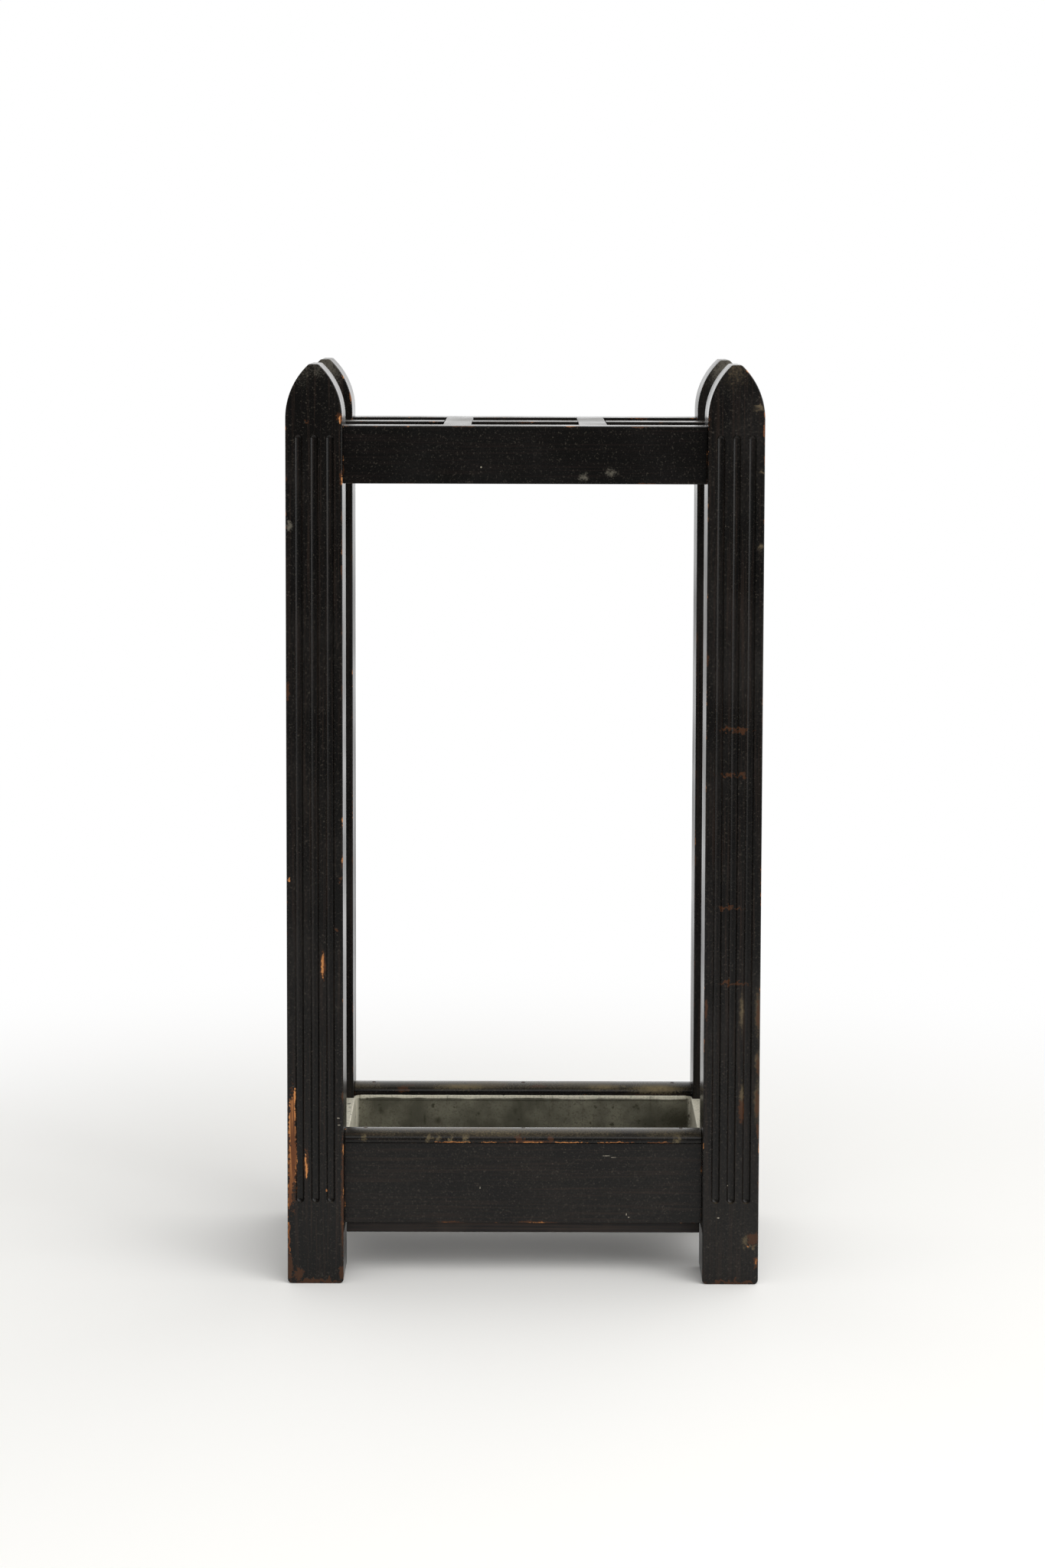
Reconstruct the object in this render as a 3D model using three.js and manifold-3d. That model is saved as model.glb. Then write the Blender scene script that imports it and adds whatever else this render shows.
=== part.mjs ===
// Umbrella stand: four arch-topped posts, a top frame that makes a grid of compartments, a low
// box of boards with rounded caps, and a lift-out drip tray of zinc-coated sheet.
// Millimetres, +Z up, front towards -Y, origin on the floor under the middle of the stand.

import * as THREE from 'three';
import { mergeVertices } from 'three/addons/utils/BufferGeometryUtils.js';
import Module from 'manifold-3d';

const wasm = await Module();
wasm.setup();

// ---------------------------------------------------------------- driving dimensions

// Whole stand
const WIDTH = 370; // over the outer faces of the posts
const DEPTH = 183;
const HEIGHT = 723; // floor to the tips of the posts
const FIT = 0.3; // clearance between two pieces that meet

// Posts
const POST = 44; // square section
const ARCH_RISE = 42; // from the spring of the arch to the tip
const TIP_WIDTH = 7.2; // flat left at the point of the arch
const FOOT_ROUND = 3.5; // radius of the foot's lower edges

// Flutes in the outer face of each post
const FLUTES = 3;
const FLUTE_PITCH = 12.1;
const FLUTE_WIDTH = 6.8;
const FLUTE_DEPTH = 2.4;
const FLUTE_BOTTOM = 64.7; // above the floor
const FLUTE_BELOW_ARCH = 11.8; // from the spring of the arch down to the flutes' ends

// Top frame: front, middle and back rails, end rails and dividers of one stock
const RAIL_THICK = 22;
const RAIL_HEIGHT = 45;
const RAIL_SETBACK = 8; // behind the posts' outer faces
const RAIL_BELOW_ARCH = 5.7; // from the spring of the arch down to the rails' tops
const DIVIDER_SPACING = 106.6; // centre to centre

// Box of boards
const BOARD_THICK = 20;
const BOARD_HEIGHT = 64.8;
const BOARD_SETBACK = 14; // behind the posts' outer faces
const BOARD_BOTTOM = 44.5; // above the floor
const BOTTOM_THICK = 8;
const BOTTOM_SETBACK = 2.5; // behind the boards' outer faces
const BOTTOM_GAP = 1.5; // from the bottom board to the posts

// Caps on the front and back boards
const CAP_WIDTH = 23;
const CAP_HEIGHT = 8.8;
const CAP_ROUND = 5; // radius of the two upper edges

// Mortises and tenons
const TENON_THICK = 8;
const TENON_SHOULDER = 5; // above and below the tenon
const TENON_WALL = 2.5; // wood left between two tenons that meet inside a post

// Drip tray
const SHEET = 1; // thickness of the sheet
const TRAY_END_PLAY = 0.5; // from the tray's end walls to the posts
const TRAY_SIDE_PLAY = 1; // from the tray's long walls to the boards
const TRAY_CORNER = 5; // outer radius of the upright corners
const HEM_HEIGHT = 4; // sheet folded back inside along the long rims
const FLANGE_REACH = 20; // width of the flanges that lie on the end boards

// Wood screws in the bottom board
const SCREW_LENGTH = 30;
const SCREW_RADIUS = 1.8;
const SCREW_HEAD_RADIUS = 3.5;
const SCREW_HEAD_DEPTH = 2.4;
const SCREW_SPACING = 90; // along the front and back boards
const SLOT_WIDTH = 0.9;

// Brads in the caps
const BRAD_LENGTH = 26;
const BRAD_RADIUS = 0.8;
const BRAD_HEAD_RADIUS = 1.3;
const BRAD_HEAD_DEPTH = 0.9;
const BRAD_INSET = 16; // from the cap's ends to the outer brads

// ---------------------------------------------------------------- derived places

const postX = (WIDTH - POST) / 2;
const postY = (DEPTH - POST) / 2;
const innerX = WIDTH / 2 - POST;
const innerY = DEPTH / 2 - POST;
const archSpring = HEIGHT - ARCH_RISE;
const railTop = archSpring - RAIL_BELOW_ARCH;
const boardTop = BOARD_BOTTOM + BOARD_HEIGHT;
const boardOuterY = DEPTH / 2 - BOARD_SETBACK;
const boardInnerY = boardOuterY - BOARD_THICK;
const boardOuterX = WIDTH / 2 - BOARD_SETBACK;
const boardLine = BOARD_SETBACK + BOARD_THICK / 2; // from a post's outer face to a board's middle
const railLine = RAIL_SETBACK + RAIL_THICK / 2;
const stubTenon = RAIL_THICK / 2; // of the dividers and the middle rail
const CUT = 1; // how far a cutter reaches past the surface that it enters

const TOP_FRAME = { line: railLine, bottom: railTop - RAIL_HEIGHT, height: RAIL_HEIGHT };
const BOX = { line: boardLine, bottom: BOARD_BOTTOM, height: BOARD_HEIGHT };

// ---------------------------------------------------------------- materials

const ebonised = new THREE.MeshStandardMaterial({ color: 0x24211f, roughness: 0.42, metalness: 0 });
const bottomWood = new THREE.MeshStandardMaterial({ color: 0x2b2522, roughness: 0.7, metalness: 0 });
const zinc = new THREE.MeshStandardMaterial({ color: 0x8f8f84, roughness: 0.5, metalness: 0.8 });
const steel = new THREE.MeshStandardMaterial({ color: 0x55504b, roughness: 0.5, metalness: 0.9 });

// ---------------------------------------------------------------- solids

/** The closed solid that a geometry's surface bounds. */
function solid(geometry) {
  const bare = new THREE.BufferGeometry();
  bare.setAttribute('position', geometry.getAttribute('position'));
  bare.setIndex(geometry.index);
  const merged = mergeVertices(bare);
  return new wasm.Manifold(new wasm.Mesh({
    numProp: 3,
    vertProperties: new Float32Array(merged.getAttribute('position').array),
    triVerts: new Uint32Array(merged.index.array),
  }));
}

/** The geometry of a solid's surface. */
function surface(body) {
  const { vertProperties, triVerts } = body.getMesh();
  const geometry = new THREE.BufferGeometry();
  geometry.setAttribute('position', new THREE.BufferAttribute(vertProperties, 3));
  geometry.setIndex(new THREE.BufferAttribute(triVerts, 1));
  geometry.computeVertexNormals();
  return geometry;
}

/** A box between its lowest and highest corner. */
function block(low, high) {
  const a = new THREE.Vector3(...low);
  const b = new THREE.Vector3(...high);
  const size = b.clone().sub(a);
  const box = new THREE.BoxGeometry(size.x, size.y, size.z);
  box.translate(...a.add(b).divideScalar(2));
  return solid(box);
}

/** An outline in X and Z, carried along Y by a depth that is centred on Y = 0. */
function carriedAlongY(outline, depth) {
  const geometry = new THREE.ExtrudeGeometry(outline, { depth, bevelEnabled: false, curveSegments: 12 });
  geometry.rotateX(Math.PI / 2);
  geometry.translate(0, depth / 2, 0);
  return solid(geometry);
}

/** A profile of [radius, z] points turned about Z. */
function turned(profile, segments) {
  const points = profile.map(([radius, z]) => new THREE.Vector2(radius, z));
  const geometry = new THREE.LatheGeometry(points, segments);
  geometry.rotateX(Math.PI / 2);
  return solid(geometry);
}

/** A body without the cutters' material. */
function cut(body, cutters) {
  return cutters.reduce((rest, cutter) => rest.subtract(cutter), body);
}

// ---------------------------------------------------------------- joinery

/** Length of the tenons that a frame's pieces push into the posts. */
function postTenon(frame) {
  return POST - frame.line - TENON_THICK / 2 - TENON_WALL;
}

/** A bar along X that stands on Z = 0, with a tenon on each end beyond its shoulders. */
function tenonedBar(length, thick, height, tenon) {
  const body = block([-length / 2, -thick / 2, 0], [length / 2, thick / 2, height]);
  const reach = length / 2 + tenon;
  const low = [-reach, -TENON_THICK / 2, TENON_SHOULDER];
  const high = [reach, TENON_THICK / 2, height - TENON_SHOULDER];
  return body.add(block(low, high));
}

/** Cutter for a mortise that runs from X = 0 into +X, for a bar that stands on Z = 0. */
function mortise(height, tenon) {
  const half = TENON_THICK / 2 + FIT;
  return block([-CUT, -half, TENON_SHOULDER - FIT], [tenon, half, height - TENON_SHOULDER + FIT]);
}

// ---------------------------------------------------------------- posts

/** Outline of a post seen from the front: rounded foot, straight sides, pointed arch. */
function postOutline() {
  const half = POST / 2;
  const inset = half - TIP_WIDTH / 2;
  const radius = (ARCH_RISE ** 2 + inset ** 2) / (2 * inset);
  const sweep = Math.asin(ARCH_RISE / radius);
  const outline = new THREE.Shape();
  outline.moveTo(-half + FOOT_ROUND, 0);
  outline.lineTo(half - FOOT_ROUND, 0);
  outline.absarc(half - FOOT_ROUND, FOOT_ROUND, FOOT_ROUND, -Math.PI / 2, 0, false);
  outline.lineTo(half, archSpring);
  outline.absarc(half - radius, archSpring, radius, 0, sweep, false);
  outline.lineTo(-TIP_WIDTH / 2, HEIGHT);
  outline.absarc(radius - half, archSpring, radius, Math.PI - sweep, Math.PI, false);
  outline.lineTo(-half, FOOT_ROUND);
  outline.absarc(-half + FOOT_ROUND, FOOT_ROUND, FOOT_ROUND, Math.PI, 1.5 * Math.PI, false);
  return outline;
}

/** Cutters for the round-ended flutes in the post's -Y face. */
function fluteCutters() {
  const radius = ((FLUTE_WIDTH / 2) ** 2 + FLUTE_DEPTH ** 2) / (2 * FLUTE_DEPTH);
  const top = archSpring - FLUTE_BELOW_ARCH;
  const straight = top - FLUTE_BOTTOM - FLUTE_WIDTH;
  return Array.from({ length: FLUTES }, (_, i) => {
    const groove = new THREE.CapsuleGeometry(radius, straight, 4, 16);
    groove.rotateX(Math.PI / 2);
    const x = (i - (FLUTES - 1) / 2) * FLUTE_PITCH;
    groove.translate(x, -POST / 2 + FLUTE_DEPTH - radius, (top + FLUTE_BOTTOM) / 2);
    return solid(groove);
  });
}

/** A post on its own axis, fluted face towards -Y; inner is 1 or -1, the side with the long rails. */
function post(inner) {
  const half = POST / 2;
  const cutters = fluteCutters();
  for (const frame of [TOP_FRAME, BOX]) {
    const tool = mortise(frame.height, postTenon(frame));
    const fromFront = frame.line - half;
    const turn = inner > 0 ? 180 : 0;
    cutters.push(tool.rotate([0, 0, turn]).translate([inner * half, fromFront, frame.bottom]));
    cutters.push(tool.rotate([0, 0, -90]).translate([inner * fromFront, half, frame.bottom]));
  }
  return cut(carriedAlongY(postOutline(), POST), cutters);
}

// ---------------------------------------------------------------- top frame

const longRail = 2 * (innerX - FIT);
const endRail = 2 * (innerY - FIT);
const middleRail = WIDTH - 2 * (RAIL_SETBACK + RAIL_THICK + FIT);
const divider = DEPTH - 2 * (RAIL_SETBACK + RAIL_THICK + FIT);
const dividerPlaces = [-DIVIDER_SPACING / 2, DIVIDER_SPACING / 2];

/** A stub mortise in a rail's +Y face, at x along the rail. */
function railMortise(x) {
  return mortise(RAIL_HEIGHT, stubTenon).rotate([0, 0, -90]).translate([x, RAIL_THICK / 2, 0]);
}

/** A front or back rail, inner face towards +Y. */
function frontRail() {
  const bar = tenonedBar(longRail, RAIL_THICK, RAIL_HEIGHT, postTenon(TOP_FRAME));
  return cut(bar, dividerPlaces.map(railMortise));
}

/** An end rail along X, inner face towards +Y. */
function sideRail() {
  const bar = tenonedBar(endRail, RAIL_THICK, RAIL_HEIGHT, postTenon(TOP_FRAME));
  return cut(bar, [railMortise(0)]);
}

/** Cutter for one side of a half lap, from its meeting height to past the top or the bottom. */
function lapCutter(x, fromTop) {
  const half = RAIL_THICK / 2;
  const side = half + FIT;
  const meeting = RAIL_HEIGHT / 2;
  if (fromTop) {
    return block([x - side, -half - CUT, meeting - FIT / 2], [x + side, half + CUT, RAIL_HEIGHT + CUT]);
  }
  return block([x - side, -half - CUT, -CUT], [x + side, half + CUT, meeting + FIT / 2]);
}

/** The middle rail, notched from above where the dividers cross it. */
function crossedRail() {
  const bar = tenonedBar(middleRail, RAIL_THICK, RAIL_HEIGHT, stubTenon);
  return cut(bar, dividerPlaces.map((x) => lapCutter(x, true)));
}

/** A divider along X, notched from below over the middle rail. */
function crossDivider() {
  const bar = tenonedBar(divider, RAIL_THICK, RAIL_HEIGHT, stubTenon);
  return cut(bar, [lapCutter(0, false)]);
}

// ---------------------------------------------------------------- fasteners

/** A countersunk slotted wood screw on Z, its head flush at Z = 0. */
function screw() {
  const tip = 4;
  const body = turned([
    [0, 0],
    [SCREW_HEAD_RADIUS, 0],
    [SCREW_RADIUS, SCREW_HEAD_DEPTH],
    [SCREW_RADIUS, SCREW_LENGTH - tip],
    [0, SCREW_LENGTH],
  ], 16);
  const slotDepth = SCREW_HEAD_DEPTH / 2;
  const reach = SCREW_HEAD_RADIUS + CUT;
  return cut(body, [block([-reach, -SLOT_WIDTH / 2, -CUT], [reach, SLOT_WIDTH / 2, slotDepth])]);
}

/** Cutter for a screw's countersunk hole, clear of it by FIT all round. */
function screwHole() {
  return turned([
    [0, -CUT],
    [SCREW_HEAD_RADIUS + FIT, -CUT],
    [SCREW_HEAD_RADIUS + FIT, FIT],
    [SCREW_RADIUS + FIT, SCREW_HEAD_DEPTH + FIT],
    [SCREW_RADIUS + FIT, SCREW_LENGTH + FIT],
    [0, SCREW_LENGTH + FIT],
  ], 16);
}

/** A brad that hangs down from Z = 0, grown all round by a clearance, its head end by another. */
function brad(clearance, above) {
  return turned([
    [0, -BRAD_LENGTH - clearance],
    [BRAD_RADIUS + clearance, -BRAD_LENGTH - clearance],
    [BRAD_RADIUS + clearance, -BRAD_HEAD_DEPTH - clearance],
    [BRAD_HEAD_RADIUS + clearance, -BRAD_HEAD_DEPTH - clearance],
    [BRAD_HEAD_RADIUS + clearance, above],
    [0, above],
  ], 12);
}

const bottomFace = BOARD_BOTTOM - FIT - BOTTOM_THICK;
const boardMiddleY = DEPTH / 2 - boardLine;
const boardMiddleX = WIDTH / 2 - boardLine;
const longBoardScrews = [-SCREW_SPACING, 0, SCREW_SPACING];
const screwPlaces = {
  front_left: [longBoardScrews[0], -boardMiddleY],
  front_middle: [longBoardScrews[1], -boardMiddleY],
  front_right: [longBoardScrews[2], -boardMiddleY],
  back_left: [longBoardScrews[0], boardMiddleY],
  back_middle: [longBoardScrews[1], boardMiddleY],
  back_right: [longBoardScrews[2], boardMiddleY],
  end_left: [-boardMiddleX, 0],
  end_right: [boardMiddleX, 0],
};
const capLength = 2 * (innerX - FIT);
const bradHead = boardTop + CAP_HEIGHT;
const bradPlaces = {
  left: -capLength / 2 + BRAD_INSET,
  middle: 0,
  right: capLength / 2 - BRAD_INSET,
};
const bradRow = Object.values(bradPlaces);

// ---------------------------------------------------------------- box

/** A long board of the box along X, in its place at the front. */
function longBoard() {
  const bar = tenonedBar(2 * (innerX - FIT), BOARD_THICK, BOARD_HEIGHT, postTenon(BOX));
  const holes = longBoardScrews.map((x) => screwHole().translate([x, 0, bottomFace - BOARD_BOTTOM]));
  const bradHoles = bradRow.map((x) => brad(FIT, CUT).translate([x, 0, bradHead - BOARD_BOTTOM]));
  return cut(bar, [...holes, ...bradHoles]);
}

/** An end board of the box along X. */
function endBoard() {
  const bar = tenonedBar(2 * (innerY - FIT), BOARD_THICK, BOARD_HEIGHT, postTenon(BOX));
  return cut(bar, [screwHole().translate([0, 0, bottomFace - BOARD_BOTTOM])]);
}

/** Outline of a cap: flat below, both upper edges rounded. */
function capOutline() {
  const half = CAP_WIDTH / 2;
  const shoulder = CAP_HEIGHT - CAP_ROUND;
  const outline = new THREE.Shape();
  outline.moveTo(-half, 0);
  outline.lineTo(half, 0);
  outline.lineTo(half, shoulder);
  outline.absarc(half - CAP_ROUND, shoulder, CAP_ROUND, 0, Math.PI / 2, false);
  outline.absarc(-half + CAP_ROUND, shoulder, CAP_ROUND, Math.PI / 2, Math.PI, false);
  return outline;
}

/** The front cap along X, standing on Z = 0, flush with the board inside and proud outside. */
function cap() {
  const overhang = (CAP_WIDTH - BOARD_THICK) / 2;
  const bar = carriedAlongY(capOutline(), capLength).rotate([0, 0, 90]).translate([0, -overhang, 0]);
  const holes = bradRow.map((x) => brad(FIT, CUT).translate([x, 0, CAP_HEIGHT - FIT]));
  return cut(bar, holes);
}

/** The bottom board, notched at its corners round the posts, its top on Z = 0. */
function bottomBoard() {
  const reachX = boardOuterX - BOTTOM_SETBACK;
  const reachY = boardOuterY - BOTTOM_SETBACK;
  const betweenX = innerX - BOTTOM_GAP;
  const betweenY = innerY - BOTTOM_GAP;
  const along = block([-betweenX, -reachY, -BOTTOM_THICK], [betweenX, reachY, 0]);
  const across = block([-reachX, -betweenY, -BOTTOM_THICK], [reachX, betweenY, 0]);
  const places = Object.values(screwPlaces);
  const holes = places.map(([x, y]) => screwHole().translate([x, y, -BOTTOM_THICK]));
  return cut(along.add(across), holes);
}

// ---------------------------------------------------------------- drip tray

/** Upright solid with a round-cornered rectangular plan, from z = low to z = high. */
function roundedPlan(halfX, halfY, radius, low, high) {
  const outline = new THREE.Shape();
  outline.absarc(halfX - radius, halfY - radius, radius, 0, Math.PI / 2, false);
  outline.absarc(-halfX + radius, halfY - radius, radius, Math.PI / 2, Math.PI, false);
  outline.absarc(-halfX + radius, -halfY + radius, radius, Math.PI, 1.5 * Math.PI, false);
  outline.absarc(halfX - radius, -halfY + radius, radius, 1.5 * Math.PI, 2 * Math.PI, false);
  const options = { depth: high - low, bevelEnabled: false, curveSegments: 5 };
  const geometry = new THREE.ExtrudeGeometry(outline, options);
  geometry.translate(0, 0, low);
  return solid(geometry);
}

/** The tray on its own base: floor, four walls, hems along the long rims and two end flanges. */
function dripTray() {
  const halfX = innerX - TRAY_END_PLAY;
  const halfY = boardInnerY - TRAY_SIDE_PLAY;
  const rim = BOARD_HEIGHT + SHEET;
  const hollow = roundedPlan(halfX - SHEET, halfY - SHEET, TRAY_CORNER - SHEET, SHEET, rim + CUT);
  const shell = roundedPlan(halfX, halfY, TRAY_CORNER, 0, rim);
  const flangeY = innerY - BOTTOM_GAP;
  const flangeX = halfX + FLANGE_REACH;
  const flanges = block([-flangeX, -flangeY, rim - SHEET], [flangeX, flangeY, rim]);
  const straight = halfX - TRAY_CORNER;
  const hem = block([-straight, halfY - 2 * SHEET, rim - HEM_HEIGHT], [straight, halfY, rim]);
  return cut(shell.add(flanges), [hollow]).add(hem).add(hem.mirror([0, 1, 0]));
}

// ---------------------------------------------------------------- assembly

/** A named mesh of a solid, placed in the stand. */
function piece(name, body, material, [x, y, z], turn = 0) {
  const mesh = new THREE.Mesh(surface(body), material);
  mesh.name = name;
  mesh.position.set(x, y, z);
  mesh.rotation.z = turn;
  return mesh;
}

const HALF_TURN = Math.PI;
const QUARTER_TURN = Math.PI / 2;
const stand = new THREE.Group();

stand.add(
  piece('post_front_left', post(1), ebonised, [-postX, -postY, 0]),
  piece('post_front_right', post(-1), ebonised, [postX, -postY, 0]),
  piece('post_back_left', post(-1), ebonised, [-postX, postY, 0], HALF_TURN),
  piece('post_back_right', post(1), ebonised, [postX, postY, 0], HALF_TURN),
);

const topFrame = new THREE.Group();
topFrame.position.z = TOP_FRAME.bottom;
const railY = DEPTH / 2 - railLine;
const railX = WIDTH / 2 - railLine;
topFrame.add(
  piece('top_rail_front', frontRail(), ebonised, [0, -railY, 0]),
  piece('top_rail_middle', crossedRail(), ebonised, [0, 0, 0]),
  piece('top_rail_back', frontRail(), ebonised, [0, railY, 0], HALF_TURN),
  piece('top_rail_left', sideRail(), ebonised, [-railX, 0, 0], -QUARTER_TURN),
  piece('top_rail_right', sideRail(), ebonised, [railX, 0, 0], QUARTER_TURN),
  piece('divider_left', crossDivider(), ebonised, [dividerPlaces[0], 0, 0], QUARTER_TURN),
  piece('divider_right', crossDivider(), ebonised, [dividerPlaces[1], 0, 0], QUARTER_TURN),
);

const box = new THREE.Group();
box.position.z = BOARD_BOTTOM;
const capBase = BOARD_HEIGHT + FIT;
box.add(
  piece('box_board_front', longBoard(), ebonised, [0, -boardMiddleY, 0]),
  piece('box_board_back', longBoard(), ebonised, [0, boardMiddleY, 0], HALF_TURN),
  piece('box_board_left', endBoard(), ebonised, [-boardMiddleX, 0, 0], -QUARTER_TURN),
  piece('box_board_right', endBoard(), ebonised, [boardMiddleX, 0, 0], QUARTER_TURN),
  piece('cap_front', cap(), ebonised, [0, -boardMiddleY, capBase]),
  piece('cap_back', cap(), ebonised, [0, boardMiddleY, capBase], HALF_TURN),
  piece('bottom_board', bottomBoard(), bottomWood, [0, 0, -FIT]),
  piece('drip_tray', dripTray(), zinc, [0, 0, FIT]),
);

stand.add(topFrame, box);

for (const [place, [x, y]] of Object.entries(screwPlaces)) {
  stand.add(piece(`bottom_screw_${place}`, screw(), steel, [x, y, bottomFace]));
}
for (const [place, x] of Object.entries(bradPlaces)) {
  stand.add(piece(`cap_pin_front_${place}`, brad(0, 0), steel, [x, -boardMiddleY, bradHead]));
  stand.add(piece(`cap_pin_back_${place}`, brad(0, 0), steel, [x, boardMiddleY, bradHead]));
}

export default stand;
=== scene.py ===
"""Looks of an ebonised wooden umbrella stand with a lift-out zinc drip tray.

Every piece is modelled in metres in the stand's own frame: +Z up, front towards -Y, origin on the
floor under the middle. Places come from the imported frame; a joiner's sizes are given in mm.
"""

import logging
import math
from collections.abc import Iterable
from dataclasses import dataclass
from enum import Enum
from typing import Protocol

import bmesh
import bpy
from mathutils import Matrix, Vector, noise


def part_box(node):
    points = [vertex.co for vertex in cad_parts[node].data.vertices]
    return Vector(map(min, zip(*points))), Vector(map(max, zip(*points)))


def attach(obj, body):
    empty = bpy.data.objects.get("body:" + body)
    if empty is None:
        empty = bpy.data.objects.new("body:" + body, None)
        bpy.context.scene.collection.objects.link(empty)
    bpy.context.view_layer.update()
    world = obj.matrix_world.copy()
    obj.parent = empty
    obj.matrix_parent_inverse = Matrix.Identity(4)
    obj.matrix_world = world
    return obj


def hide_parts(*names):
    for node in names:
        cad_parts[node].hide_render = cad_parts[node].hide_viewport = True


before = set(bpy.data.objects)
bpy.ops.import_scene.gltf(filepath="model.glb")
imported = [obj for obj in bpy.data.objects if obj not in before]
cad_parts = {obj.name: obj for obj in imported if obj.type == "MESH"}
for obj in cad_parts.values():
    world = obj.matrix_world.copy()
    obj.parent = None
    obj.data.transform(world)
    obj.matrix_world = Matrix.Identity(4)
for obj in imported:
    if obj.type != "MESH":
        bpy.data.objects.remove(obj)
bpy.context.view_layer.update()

LOG = logging.getLogger("umbrella_stand")
MM = 0.001
STAND = "stand"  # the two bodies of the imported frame
TRAY = "tray"

Rgba = tuple[float, float, float, float]
Point = tuple[float, float, float]
Tree = bpy.types.NodeTree
Socket = bpy.types.NodeSocket
Material = bpy.types.Material
Object = bpy.types.Object
BMesh = bmesh.types.BMesh
BMVert = bmesh.types.BMVert
BMEdge = bmesh.types.BMEdge

FIT = 0.3 * MM  # gap that the joiner leaves round a tenon, a screw or a brad
ARRIS = 0.9 * MM  # radius to which use has rubbed the corners
ARRIS_STEPS = 3
ROOM_DARK = 0.08  # how bright the room behind the camera is in reflections
SHARP_ANGLE = math.radians(38)  # steeper folds than this keep a crisp line
DOUBLES = 0.005 * MM
TENON_THICK = 8 * MM
TENON_SHOULDER = 5 * MM
SCREW_SHANK = 1.8 * MM  # radius
SCREW_HEAD = 2.4 * MM  # height of the countersunk head
BRAD_SHANK = 0.8 * MM
BRAD_HEAD = 0.9 * MM


# ------------------------------------------------------------------ colour and nodes


def linear(code: str) -> Rgba:
    """Turns an sRGB hex colour into linear light.

    Args:
        code: A # and six hex digits.

    Returns:
        Red, green, blue and an alpha of 1.
    """
    channels = [int(code[i:i + 2], 16) / 255 for i in (1, 3, 5)]
    light = [c / 12.92 if c <= 0.04045 else ((c + 0.055) / 1.055) ** 2.4 for c in channels]
    return (light[0], light[1], light[2], 1.0)


def add(
    tree: Tree, kind: str, inputs: dict | None = None, output: int | str = 0, **settings,
) -> Socket | None:
    """Adds a node to a tree, sets it and links it.

    Args:
        tree: The material's or the world's nodes.
        kind: The node's type, without its ShaderNode prefix.
        inputs: A value or an output socket for each input, by its name or number.
        output: Name or number of the output to hand back.
        **settings: Attributes of the node, such as its operation.

    Returns:
        The chosen output socket, or None for a node that has none.
    """
    node = tree.nodes.new("ShaderNode" + kind)
    for name, value in settings.items():
        setattr(node, name, value)
    for name, value in (inputs or {}).items():
        if isinstance(value, Socket):
            tree.links.new(value, node.inputs[name])
        else:
            node.inputs[name].default_value = value
    return node.outputs[output] if len(node.outputs) else None


def blank_material(name: str) -> tuple[Material, Tree]:
    """Makes a material without nodes.

    Args:
        name: The material's name.

    Returns:
        The material and its empty node tree.
    """
    made = bpy.data.materials.new(name)
    made.use_nodes = True
    made.node_tree.nodes.clear()
    return made, made.node_tree


def layered(tree: Tree, ground: Socket | Rgba, *coats: tuple[Socket, Socket | Rgba]) -> Socket:
    """Lays coats of colour over one another, each where its mask says.

    Args:
        tree: The material's nodes.
        ground: The colour under them all.
        *coats: A mask and a colour for each coat, from the lowest to the topmost.

    Returns:
        The colour's socket.
    """
    colour = ground
    for mask, coat in coats:
        colour = add(tree, "Mix", {0: mask, 6: colour, 7: coat}, 2, data_type="RGBA")
    return colour


def mark_distance(tree: Tree, place: Socket, centre: Point, half: Point, crumbs: Socket) -> Socket:
    """Distance from the middle of an ellipsoid, 1 at its rim, with the rim broken up.

    Args:
        tree: The material's nodes.
        place: The position.
        centre: The ellipsoid's middle, in mm.
        half: Half its size along each axis, in mm.
        crumbs: What is added to the distance to break the rim.

    Returns:
        The distance's socket.
    """
    scale = [1 / (h * MM) for h in half]
    shift = [-c / h for c, h in zip(centre, half)]
    inside = add(tree, "Mapping", {"Vector": place, "Location": shift, "Scale": scale})
    away = add(tree, "VectorMath", {0: inside}, output="Value", operation="LENGTH")
    return add(tree, "Math", {0: away, 1: crumbs}, operation="ADD")


# ------------------------------------------------------------------ finishes


class Grain(Enum):
    """The axis that a piece's wood grain follows."""

    X = 0
    Y = 1
    Z = 2


class Damage(Enum):
    """What a mark in the black finish shows."""

    BARE = "wood laid bare"
    BROWN = "black rubbed thin over brown wood"
    PALE = "light scratch or dried splash"
    # also a grey sheen painted high on the left front post's arch, drawn in the dust colour
    DUST_AND_SHEEN = "settled dust and water stain"


@dataclass(frozen=True)
class Mark:
    """One worn or knocked place on a piece: an ellipsoid, in millimetres."""

    damage: Damage
    centre: Point
    half: Point


class Finish(Protocol):
    """Anything that can make a Blender material."""

    def material(self) -> Material:
        """Builds the material."""


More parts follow.
